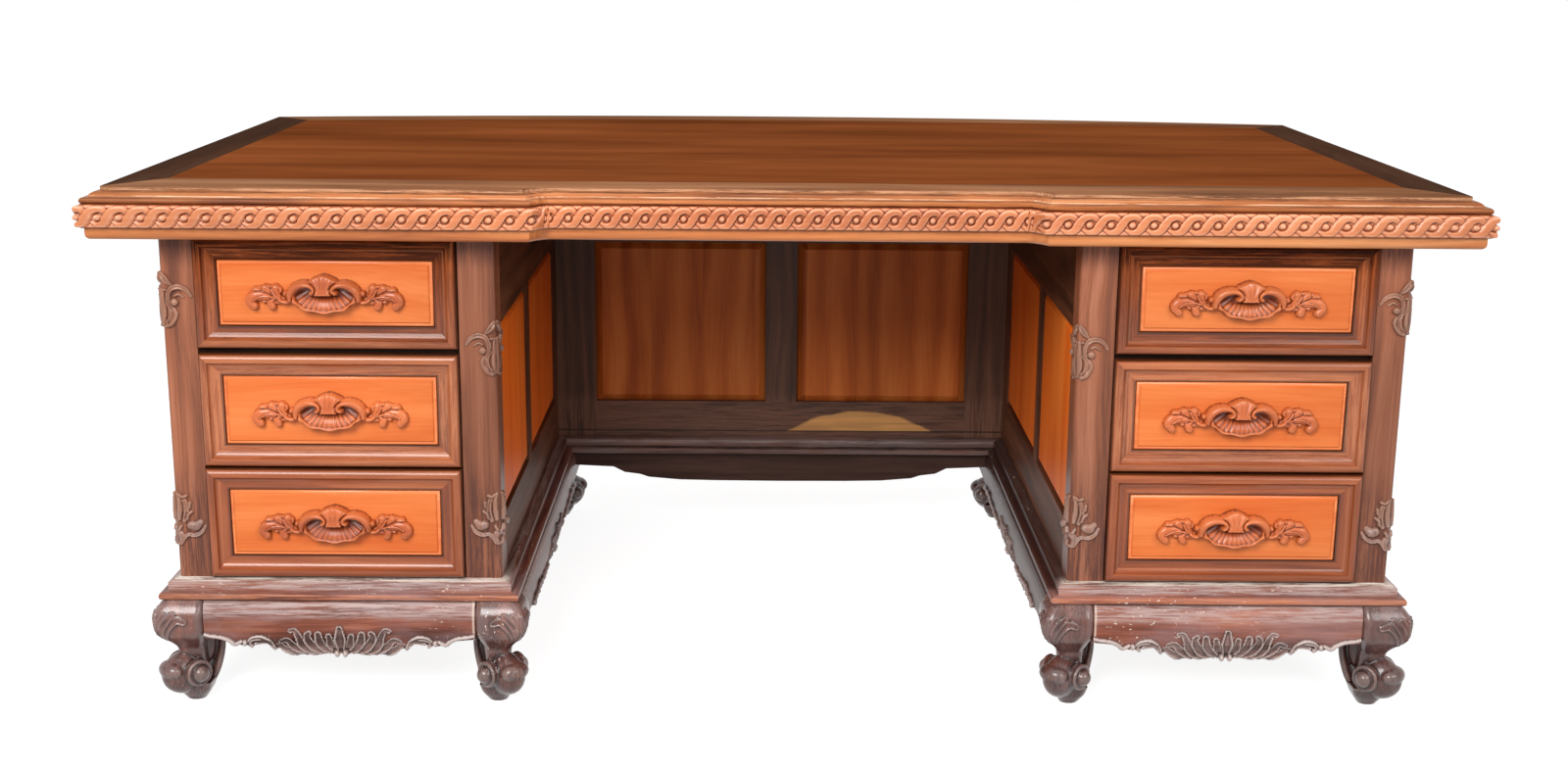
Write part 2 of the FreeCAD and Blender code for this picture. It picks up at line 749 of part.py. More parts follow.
modesty_half = f"({half_knee} + frame_setback)"
modesty_opening = f"({modesty_half} - modesty_stile_width)"
modesty_low = f"({base_top} + modesty_lower_rail)"
modesty_height = f"({body_top} - upper_rail_height - {modesty_low})"
modesty_span = f"(2 * {modesty_opening})"
modesty_rails = [
    rail_along_x(
        "modesty_upper", modesty_span, "upper_rail_height", f"-{modesty_opening}", modesty_y, upper_rail_z),
    rail_along_x(
        "modesty_lower", modesty_span, "modesty_lower_rail", f"-{modesty_opening}", modesty_y, base_top),
]
modesty_muntin = upright_along_x(
    "modesty_muntin", "modesty_muntin_width", modesty_height, "-modesty_muntin_width / 2", modesty_y,
    modesty_low)
modesty_panel_width = f"({modesty_opening} - modesty_muntin_width / 2)"
modesty_panels = []
for stem, x in (("left", f"-{modesty_opening}"), ("right", "modesty_muntin_width / 2")):
    modesty_panels.append(raised_panel(
        f"modesty_{stem}", modesty_panel_width, modesty_height, "panel_thickness", "panel_tongue",
        "panel_raise",
        "panel_bevel", x, f"{modesty_y} + {panel_sink}", modesty_low, 0))
modesty_stiles = []
for stem, x in (("left", f"-{modesty_half}"), ("right", modesty_opening)):
    modesty_stiles.append(board(
        f"modesty_stile_{stem}", "modesty_stile_width", "frame_thickness", f"{body_top} - {base_top}",
        x, modesty_y, base_top))
modesty_frame = fitted("modesty_rail", modesty_rails, [modesty_muntin] + modesty_panels)
modesty_frame += fitted("modesty_post", modesty_stiles, modesty_rails + modesty_panels)
modesty_frame += fitted("modesty_upright", [modesty_muntin], modesty_panels)
keep(group("modesty_frame_group", modesty_frame), "modesty_frame")
keep(group("modesty_panels_group", modesty_panels), "modesty_panels")

# Drawers. Each has a mitred front frame, a raised panel, a carved pull and a box

front_x = f"({left_x} + front_side_gap)"
front_width = f"({opening_width} - 2 * front_side_gap)"
front_back_y = f"({front_y} - front_proud + front_thickness)"
pull_y = f"({front_back_y} - rebate_depth - drawer_panel_raise)"
pull_width = f"(({front_width} - 2 * front_frame_width) * pull_width_share)"
pull_height = f"(({top_front_height} - 2 * front_frame_width) * pull_height_share)"


def drawer_frame_profile():
    # (outward, forward) from the outer edge in to the panel
    deep = now["front_thickness"]
    edge_round = now["front_edge_round"]
    crest = -edge_round - now["front_crest_flat"]
    bead = -now["front_frame_width"] + now["front_bead_width"]
    rebate = -now["front_frame_width"] + now["panel_tongue"]
    outer = quarter((0, deep - edge_round), (-edge_round, deep), round_steps, True)
    slope = quarter((crest, deep), (bead, now["front_lip"]), round_steps, True)
    inner = -now["front_frame_width"]
    return ([(0, 0)] + outer + slope
            + [(inner, now["front_lip"]), (inner, now["rebate_depth"])]
            + [(rebate, now["rebate_depth"]), (rebate, 0)])


def drawer_frame(row):
    low_x, width = size(front_x), size(front_width)
    low_z, height = size(row["low"]), size(row["height"])
    plane = size(front_back_y)
    high_x, high_z = low_x + width, low_z + height
    corners = [(low_x, low_z), (high_x, low_z), (high_x, high_z), (low_x, high_z)]

    def upright(x, z, forward):
        return Vector(x, plane - forward, z)

    return Part.makeCompound(ring_runs(corners, drawer_frame_profile(), upright))


# half of a leaf spray beside the shell, as shares of the pull's half width and half height
leaf_shares = [
    (0.36, 0.30), (0.47, 0.16), (0.56, 0.34), (0.66, 0.20), (0.76, 0.52), (0.90, 0.42), (0.99, 0.02),
    (0.93, -0.34), (0.86, -0.12), (0.78, -0.52), (0.68, -0.18), (0.58, -0.58), (0.50, -0.20), (0.36, -0.34),
]


def oval_dome(width, depth, height, x, y, z, lowest):
    # a dome that looks to -Y, drawn out to three sizes from its middle at x, y, z
    stretch = FreeCAD.Matrix()
    stretch.scale(width / 2, depth, height / 2)
    stretch.move(Vector(x, y, z))
    dome = Part.makeSphere(1, Vector(0, 0, 0), Vector(0, -1, 0), lowest, 90, 360)
    return dome.transformGeometry(stretch)


def pull(row):
    # an oval shell with a finger recess, and a leaf spray at each side
    x = size(front_x) + size(front_width) / 2
    y = size(pull_y)
    z = size(row["low"]) + size(row["height"]) / 2
    width, height = size(pull_width), size(pull_height)
    half_width, half_height = width / 2, height / 2
    shell_width = width * now["pull_shell_share"]
    shell = oval_dome(shell_width, now["pull_shell_depth"], height, x, y, z, 0)
    points = [Vector(x + a * half_width, y, z + b * half_height) for a, b in leaf_shares]
    curve = Part.BSplineCurve()
    curve.interpolate(points, PeriodicFlag=True)
    leaf = Part.Face(Part.Wire(curve.toShape())).extrude(Vector(0, -now["pull_leaf_depth"], 0))
    other = leaf.mirror(Vector(x, 0, 0), Vector(1, 0, 0))
    recess = oval_dome(
        shell_width * now["pull_recess_width_share"], now["pull_recess_depth"],
        height * now["pull_recess_height_share"], x, y - now["pull_recess_front"],
        z - height * now["pull_recess_drop_share"], -90)
    return shell.fuse([leaf, other]).cut(recess)


for row_name, row in rows.items():
    stem = "left_" + row_name
    both_sides(f"drawer_frame_SIDE_{row_name}", shaped(stem + "_front_frame", drawer_frame(row)))
    panel = raised_panel(
        stem + "_front_panel", f"({front_width} - 2 * front_frame_width)",
        f"({row['height']} - 2 * front_frame_width)", "rebate_depth", "panel_tongue", "drawer_panel_raise",
        "drawer_panel_bevel", f"{front_x} + front_frame_width", front_back_y,
        f"{row['low']} + front_frame_width", 0)
    both_sides(f"drawer_panel_SIDE_{row_name}", panel)
    both_sides(f"drawer_pull_SIDE_{row_name}", shaped(stem + "_pull", pull(row)))
    blade_z, blade_tall = levels[row_name]
    above = {"bottom": "middle", "middle": "top", "top": "head"}[row_name]
    box_z = f"({blade_z} + {blade_tall} + slide_clearance)"
    box_height = f"({levels[above][0]} - drawer_head_room - {box_z})"
    box_x = f"({left_x} + drawer_box_gap)"
    box_width = f"({opening_width} - 2 * drawer_box_gap)"
    between = f"({box_width} - 2 * drawer_side)"
    bottom = board(
        stem + "_bottom", f"{between} + 2 * drawer_groove",
        "drawer_length - 2 * drawer_side + 2 * drawer_groove", "drawer_bottom",
        f"{box_x} + drawer_side - drawer_groove", f"{front_back_y} + drawer_side - drawer_groove",
        f"{box_z} + drawer_bottom_lift")
    walls = []
    for end, x in (("left", box_x), ("right", f"({box_x} + {box_width} - drawer_side)")):
        walls.append(
            board(f"{stem}_side_{end}", "drawer_side", "drawer_length", box_height, x, front_back_y, box_z))
    inner_x = f"({box_x} + drawer_side)"
    for end, y in (("front", front_back_y), ("back", f"({front_back_y} + drawer_length - drawer_side)")):
        walls.append(board(f"{stem}_{end}_wall", between, "drawer_side", box_height, inner_x, y, box_z))
    walls = fitted(stem + "_wall", walls, [bottom])
    both_sides(f"drawer_box_SIDE_{row_name}", group(stem + "_box", walls + [bottom]))

# The waist moulding between carcass and legs

def waist_profile(lap):
    low = now["leg_height"]
    shelf = low + now["waist_lower_height"]
    high = shelf + now["waist_upper_height"]
    edge = high - now["waist_ledge_drop"]
    out_low, out_high, bend = now["waist_lower_out"], now["waist_upper_out"], now["waist_round"]
    nose = quarter((out_low - bend, low), (out_low, low + bend), round_steps, False)
    brow = quarter((out_low, shelf - bend), (out_low - bend, shelf), round_steps, True)
    return [(-lap, low)] + nose + brow + [(out_high, shelf), (out_high, edge), (0, high), (-lap, high)]


def pedestal_outline():
    low_x, high_x = -size(half_body), -size(half_knee)
    low_y, high_y = size(front_y), size(back_y)
    return [(low_x, low_y), (high_x, low_y), (high_x, high_y), (low_x, high_y)]


waist_left_runs = ring_runs(pedestal_outline(), waist_profile(now["waist_lap"]))
waist_left = shaped("waist_left_runs", Part.makeCompound(waist_left_runs))
both_sides("waist_moulding_SIDE", waist_left)

# The link across the kneehole is coped to the pedestals' mouldings and mitred along its middle

def link_run():
    middle = size(f"{modesty_y} + frame_thickness / 2")
    reach = size(half_knee)
    half = now["frame_thickness"] / 2
    front = run([(-reach, middle - half), (reach, middle - half)], [(0, -1), (0, -1)], waist_profile(half))
    back = run([(reach, middle + half), (-reach, middle + half)], [(0, 1), (0, 1)], waist_profile(half))
    return front.fuse(back).removeSplitter()


link_blank = shaped("waist_link_blank", link_run())
waist_tools = group("waist_tools", [waist_left, mirrored("waist_right_tool", waist_left)])
keep(cut("waist_link_coped", link_blank, waist_tools), "waist_moulding_link")

# Legs: a knee, an ankle and a scrolled foot, lofted through rounded squares

# from the sole up: height, how far out and how far in, and the sort of curve up to the next
leg_turns = [
    ("0 * foot_height", "sole_out", "sole_inside", "bulge"),
    ("foot_height", "foot_out", "foot_inside", "sway"),
    ("ankle_height", "ankle_out", "leg_inside", "sway"),
    ("knee_height", "knee_out", "leg_inside", "sway"),
    ("leg_height", "leg_top_out", "leg_inside", "end"),
]
leg_steps = 3


def leg_levels():
    # heights with the two reaches there, on a smooth curve through the turns
    levels_up = []
    for here, after in zip(leg_turns, leg_turns[1:]):
        a = [size(text) for text in here[:3]]
        b = [size(text) for text in after[:3]]
        for i in range(leg_steps):
            t = i / leg_steps
            ease = math.sin(t * math.pi / 2) if here[3] == "bulge" else (1 - math.cos(t * math.pi)) / 2
            share = (t, ease, ease)
            levels_up.append([p + (q - p) * k for p, q, k in zip(a, b, share)])
    levels_up.append([size(text) for text in leg_turns[-1][:3]])
    return levels_up


def rounded_square(low_x, high_x, low_y, high_y, z, bend):
    edges = []
    corners = [(high_x - bend, low_y + bend, -90), (high_x - bend, high_y - bend, 0),
               (low_x + bend, high_y - bend, 90), (low_x + bend, low_y + bend, 180)]
    ends = []
    for x, y, start in corners:
        first, middle, last = arc_points((x, y), bend, start, start + 90, 2)
        points = [Vector(a, b, z) for a, b in (first, middle, last)]
        ends.append((points[0], points[2]))
        edges.append(Part.Arc(*points).toShape())
    ordered = []
    for i, edge in enumerate(edges):
        ordered.append(edge)
        ordered.append(Part.makeLine(ends[i][1], ends[(i + 1) % len(ends)][0]))
    return Part.Wire(ordered)


def leg(corner_x, corner_y, side_x, side_y):
    rings = []
    for z, proud, deep in leg_levels():
        x = sorted((corner_x + side_x * proud, corner_x - side_x * deep))
        y = sorted((corner_y + side_y * proud, corner_y - side_y * deep))
        rings.append(rounded_square(x[0], x[1], y[0], y[1], z, now["leg_round"]))
    return Part.makeLoft(rings, True, True)


legs = []
for corner_x, side_x in ((-size(half_body), -1), (-size(half_knee), 1)):
    for corner_y, side_y in ((size(front_y), -1), (size(back_y), 1)):
        legs.append(leg(corner_x, corner_y, side_x, side_y))
legs_left = shaped("legs_left_lofts", Part.makeCompound(legs))
both_sides("legs_SIDE", legs_left)

# Bellied aprons between the legs, with a shaped lower edge

# half of the lower edge from its middle to a leg: shares of the half length and of the drop
apron_edge_shares = [
    (0.0, 0.0), (0.34, 0.05), (0.42, 0.42), (0.50, 0.52), (0.56, 0.90), (0.66, 0.72), (0.73, 0.66),
    (0.81, 0.98), (0.92, 1.1), (1.0, 1.15),
]


def both_ways(right):
    # an outline from left to right, from its right half that starts in the middle
    return [(-a, b) for a, b in reversed(right[1:])] + right


def apron_profile():
    top = now["leg_height"]
    belly = now["apron_belly_height"]
    bottom = now["apron_edge_height"] - now["apron_drop"]
    upper = quarter((now["apron_belly_out"], belly), (now["apron_top_out"], top), round_steps, True)
    lower = quarter((now["apron_foot_out"], bottom), (now["apron_belly_out"], belly), round_steps, False)
    back = now["apron_foot_out"] - now["apron_thickness"]
    return [(back, bottom)] + lower + upper[1:] + [(back, top)]


def apron(start, end, outward):
    # one apron from leg to leg; start and end are plan points on the carcass face
    solid = run([start, end], [outward, outward], apron_profile())
    top = now["leg_height"] + now["overrun"]
    bottom = now["apron_edge_height"] - now["apron_drop"]
    along = unit(start, end)
    half = math.hypot(end[0] - start[0], end[1] - start[1]) / 2
    middle = ((start[0] + end[0]) / 2, (start[1] + end[1]) / 2)
    right = [(a * half, bottom + b * now["apron_drop"]) for a, b in apron_edge_shares]
    edge = both_ways(right) + [(half, top), (-half, top)]
    reach = now["apron_belly_out"] + now["overrun"]
    deep = 2 * reach
    corners = []
    for a, z in edge:
        corners.append(Vector(middle[0] + along[0] * a + outward[0] * reach,
                              middle[1] + along[1] * a + outward[1] * reach, z))
    cutter = Part.Face(Part.makePolygon(corners + corners[:1]))
    return solid.common(cutter.extrude(Vector(-outward[0] * deep, -outward[1] * deep, 0)))


def pedestal_aprons():
    low_x, high_x = -size(half_body), -size(half_knee)
    low_y, high_y = size(front_y), size(back_y)
    inside = now["leg_inside"]
    return [
        apron((low_x + inside, low_y), (high_x - inside, low_y), (0, -1)),
        apron((high_x, low_y + inside), (high_x, high_y - inside), (1, 0)),
        apron((high_x - inside, high_y), (low_x + inside, high_y), (0, 1)),
        apron((low_x, high_y - inside), (low_x, low_y + inside), (-1, 0)),
    ]


aprons_left = shaped("aprons_left_runs", Part.makeCompound(pedestal_aprons()))
both_sides("aprons_SIDE", aprons_left)

# half of the link apron's lower edge: shares of the half width and of the rise towards the ends
link_edge_shares = [
    (0.0, 0.0), (0.30, 0.02), (0.46, 0.06), (0.60, 0.22), (0.64, 0.40), (0.71, 0.52), (0.76, 0.86),
    (1.0, 1.0),
]


def link_apron():
    reach = size(half_knee)
    top = now["leg_height"]
    low = top - now["link_apron_drop"]
    right = [(a * reach, low + b * now["link_apron_rise"]) for a, b in link_edge_shares]
    y = size(f"{modesty_y} + link_apron_setback")
    corners = [Vector(a, y, z) for a, z in both_ways(right) + [(reach, top), (-reach, top)]]
    face = Part.Face(Part.makePolygon(corners + corners[:1]))
    return face.extrude(Vector(0, now["link_apron_thickness"], 0))


link_tools = group("link_apron_tools", [aprons_left, mirrored("aprons_right_tool", aprons_left)])
keep(cut("link_apron_coped", shaped("link_apron_blank", link_apron()), link_tools), "apron_link")

# Every object has to be sound before a file is written

doc.recompute()
for piece in doc.Objects:
    if "Invalid" in piece.State or "Error" in piece.State:
        raise RuntimeError("failed: " + piece.Name)
os.makedirs("parts", exist_ok=True)
for piece in subparts:
    if piece.Shape.isNull() or not piece.Shape.isValid() or piece.Shape.Volume <= 0:
        raise RuntimeError("unsound: " + piece.Label)
for piece in subparts:
    piece.Shape.exportStep("parts/%s.step" % piece.Label)
print(len(subparts), "sub-parts written")
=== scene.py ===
import math

import bpy
import numpy as np
from mathutils import Matrix, Vector


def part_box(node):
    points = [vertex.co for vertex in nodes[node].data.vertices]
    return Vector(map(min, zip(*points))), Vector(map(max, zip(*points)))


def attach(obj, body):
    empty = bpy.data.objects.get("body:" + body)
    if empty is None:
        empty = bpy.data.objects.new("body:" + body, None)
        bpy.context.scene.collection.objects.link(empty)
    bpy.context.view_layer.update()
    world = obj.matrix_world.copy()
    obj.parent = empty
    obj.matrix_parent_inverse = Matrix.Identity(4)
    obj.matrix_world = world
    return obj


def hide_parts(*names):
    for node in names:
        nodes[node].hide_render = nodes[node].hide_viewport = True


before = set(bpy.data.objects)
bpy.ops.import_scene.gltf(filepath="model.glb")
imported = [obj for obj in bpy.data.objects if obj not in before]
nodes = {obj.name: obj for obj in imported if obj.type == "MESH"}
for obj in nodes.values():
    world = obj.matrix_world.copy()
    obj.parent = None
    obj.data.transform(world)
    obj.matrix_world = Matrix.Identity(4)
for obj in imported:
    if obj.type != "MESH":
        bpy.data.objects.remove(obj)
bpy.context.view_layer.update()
sides = {"left": -1, "right": 1}
rows = ("top", "middle", "bottom")
mm = 0.001

# Faces of the right pedestal and of the top's core behind its mouldings, in plan and in millimetres.
# The top's front is set back between two hollow corners: the first one's start, run in X and Y, and bend.
pedestal = {"outer": 922.0, "inner": 431.0, "front": -532.5, "back": 452.5, "legWide": 40.0}
topPlan = {"half": 988.0, "front": -564.5, "back": 474.5, "bow": 90.0, "hollow": (-384, 31, 28, 40)}
middleX = (pedestal["outer"] + pedestal["inner"]) / 2
middleY = (pedestal["back"] + pedestal["front"]) / 2
halfX = (pedestal["outer"] - pedestal["inner"]) / 2
halfY = (pedestal["back"] - pedestal["front"]) / 2
facesY = ((pedestal["front"], -1), (pedestal["back"], 1))


def facesX(sign):
    # the outer and the inner face of a pedestal, each with its way outward
    return ((sign * pedestal["outer"], sign), (sign * pedestal["inner"], -sign))


def newObject(name, data):
    holder = bpy.data.objects.new(name, data)
    bpy.context.collection.objects.link(holder)
    return holder


# Camera

camera = {
    "place": (-0.0399, -3.29545, 1.16553),
    "turn": 0.73,  # degrees to the right of straight ahead
    "pitch": 13.49,  # degrees down
    "roll": 0.55,
    "lens": 43.74,
}


def placeCamera(values):
    turn, pitch, roll = (math.radians(values[k]) for k in ("turn", "pitch", "roll"))
    ahead = Vector((math.sin(turn) * math.cos(pitch), math.cos(turn) * math.cos(pitch), -math.sin(pitch)))
    right = Vector((math.cos(turn), -math.sin(turn), 0))
    up = right.cross(ahead)
    across = math.cos(roll) * right + math.sin(roll) * up
    upright = math.cos(roll) * up - math.sin(roll) * right
    data = bpy.data.cameras.new("camera")
    data.lens = values["lens"]
    data.sensor_width = 36
    holder = newObject("camera", data)
    axes = Matrix((across, upright, -ahead)).transposed().to_4x4()
    holder.matrix_world = Matrix.Translation(Vector(values["place"])) @ axes
    bpy.context.scene.camera = holder


# Small helpers for shader trees. A socket knows its own tree, so they ask for values alone.

def tint(red, green, blue):
    # a colour as a screen shows it, 0 to 255, in the renderer's own terms
    return tuple(((c / 255 + 0.055) / 1.055) ** 2.4 for c in (red, green, blue)) + (1,)


def newMaterial(name):
    material = bpy.data.materials.new(name)
    material.use_nodes = True
    return material, material.node_tree, material.node_tree.nodes["Principled BSDF"]


def addNode(tree, kind, **settings):
    node = tree.nodes.new("ShaderNode" + kind)
    for key, value in settings.items():
        setattr(node, key, value)
    return node


def treeOf(*values):
    # the tree of the first socket among some values
    return next(value.id_data for value in values if isinstance(value, bpy.types.NodeSocket))


def fill(node, values):
    # sockets or plain values for a node's inputs, by name or number
    for key, value in values.items():
        socket = node.inputs[key]
        if isinstance(value, bpy.types.NodeSocket):
            socket.id_data.links.new(value, socket)
        else:
            socket.default_value = value
    return node


def calc(operation, *values, kind="Math"):
    node = addNode(treeOf(*values), kind, operation=operation)
    return fill(node, dict(enumerate(values))).outputs[0]


def times(first, second):
    return calc("MULTIPLY", first, second)


def minus(first, second):
    return calc("SUBTRACT", first, second)


def sizeOf(value):
    return calc("ABSOLUTE", value)


def offFrom(value, level):
    return sizeOf(minus(value, level))


def spread(value, low, high, bottom=0.0, top=1.0):
    node = addNode(treeOf(value), "MapRange", interpolation_type="SMOOTHSTEP")
    return fill(node, dict(enumerate((value, low, high, bottom, top)))).outputs[0]


def blendColours(share, first, second):
    node = addNode(treeOf(share), "Mix", data_type="RGBA")
    return fill(node, {0: share, 6: first, 7: second}).outputs[2]


def parts(vector):
    return fill(addNode(treeOf(vector), "SeparateXYZ"), {0: vector}).outputs


def stretched(vector, scales):
    return fill(addNode(treeOf(vector), "Mapping"), {"Vector": vector, "Scale": scales}).outputs[0]


def noiseOn(vector, scales, detail=4.0, rough=0.55, twist=0.0):
    # scales: how many patches there are to a metre along each axis
    values = {"Vector": stretched(vector, scales), "Scale": 1.0}
    values.update({"Detail": detail, "Roughness": rough, "Distortion": twist})
    return fill(addNode(treeOf(vector), "TexNoise"), values).outputs[0]


def ordered(vector, order):
    # the vector's axes in another order, the grain's own axis first
    found = parts(vector)
    node = addNode(treeOf(vector), "CombineXYZ")
    return fill(node, {k: found["xyz".index(axis)] for k, axis in enumerate(order)}).outputs[0]


def turned(place, share, first, second):
    # the grain in the first order of axes, and in the second one where share is one
    node = addNode(treeOf(place), "Mix", data_type="VECTOR")
    return fill(node, {0: share, 4: ordered(place, first), 5: ordered(place, second)}).outputs[1]


# The way that the grain runs on each kind of piece

borderPlanks = {"side": 70.0, "front": 95.0, "back": 60.0}  # widths in millimetres
drawerFront = {"wide": 0.384, "high": 0.170}  # in metres, as are the joints below
panelFrames = {  # the top of the lower rail, the foot of the upper one and the inner edge of the end stiles
    "side": (0.280, 0.583, 0.2595),
    "modesty": (0.270, 0.583, 0.359),
}


def grainAcross(place):
    return ordered(place, "xyz")


def grainDeep(place):
    return ordered(place, "yxz")


def grainUp(place):
    return ordered(place, "zxy")


def grainRoundTop(place):
    # the mouldings of the top run along X, and along Y at the ends
    x, y, z = parts(place)
    reach = minus(sizeOf(x), topPlan["half"] * mm)
    deep = minus(sizeOf(y), -topPlan["front"] * mm)
    return turned(place, calc("GREATER_THAN", reach, calc("MAXIMUM", deep, -0.02)), "xyz", "yxz")


def borderEnds(place):
    # one on the two side planks of the mitred border, nought on the front and back ones
    x, y, z = parts(place)
    shares = []
    for off, edge, plank in (
        (sizeOf(x), topPlan["half"], borderPlanks["side"]),
        (times(y, -1.0), -topPlan["front"], borderPlanks["front"]),
        (y, topPlan["back"], borderPlanks["back"]),
    ):
        shares.append(calc("DIVIDE", minus(off, (edge - plank) * mm), plank * mm))
    return calc("GREATER_THAN", shares[0], calc("MAXIMUM", shares[1], shares[2]))


def grainOfBorder(place):
    return turned(place, borderEnds(place), "xyz", "yxz")


def grainRoundPedestal(place):
    # waist mouldings, aprons: along X in front and behind, along Y at the sides
    x, y, z = parts(place)
    reach = minus(offFrom(sizeOf(x), middleX * mm), halfX * mm)
    deep = minus(offFrom(y, middleY * mm), halfY * mm)
    return turned(place, calc("GREATER_THAN", reach, deep), "xyz", "yxz")


def fromFrameEdges(place):
    # how far a point of a drawer's frame lies from its sides and from its ends
    local = parts(addNode(treeOf(place), "TexCoord").outputs["Generated"])
    fromSide, fromEnd = (calc("MINIMUM", share, minus(1.0, share)) for share in (local[0], local[2]))
    return times(fromSide, drawerFront["wide"]), times(fromEnd, drawerFront["high"])


def grainOfDrawerFrame(place):
    # four mitred pieces: the nearer edge gives the grain's way
    return turned(place, calc("LESS_THAN", *fromFrameEdges(place)), "xyz", "zxy")


def uprights(z, off, railTop, railFoot, stile):
    # one on a panelled frame's muntin and end stiles, nought on its rails
    field = times(calc("GREATER_THAN", z, railTop), calc("LESS_THAN", z, railFoot))
    return calc("MAXIMUM", field, calc("GREATER_THAN", off, stile))


def grainOfSideFrame(place):
    x, y, z = parts(place)
    return turned(place, uprights(z, y, *panelFrames["side"]), "yxz", "zxy")


def grainOfModesty(place):
    x, y, z = parts(place)
    return turned(place, uprights(z, sizeOf(x), *panelFrames["modesty"]), "xyz", "zxy")


# Woods. Colours: dark, plain and light. Grain: streaks and fibres to a metre across it, the strength of the
# figure, the change of tone. Finish: roughness, coat, gloss and the depth of the pores. A band: its height,
# its reach up and down, its strength and the key of its colour. Lengths of the layers are in metres.

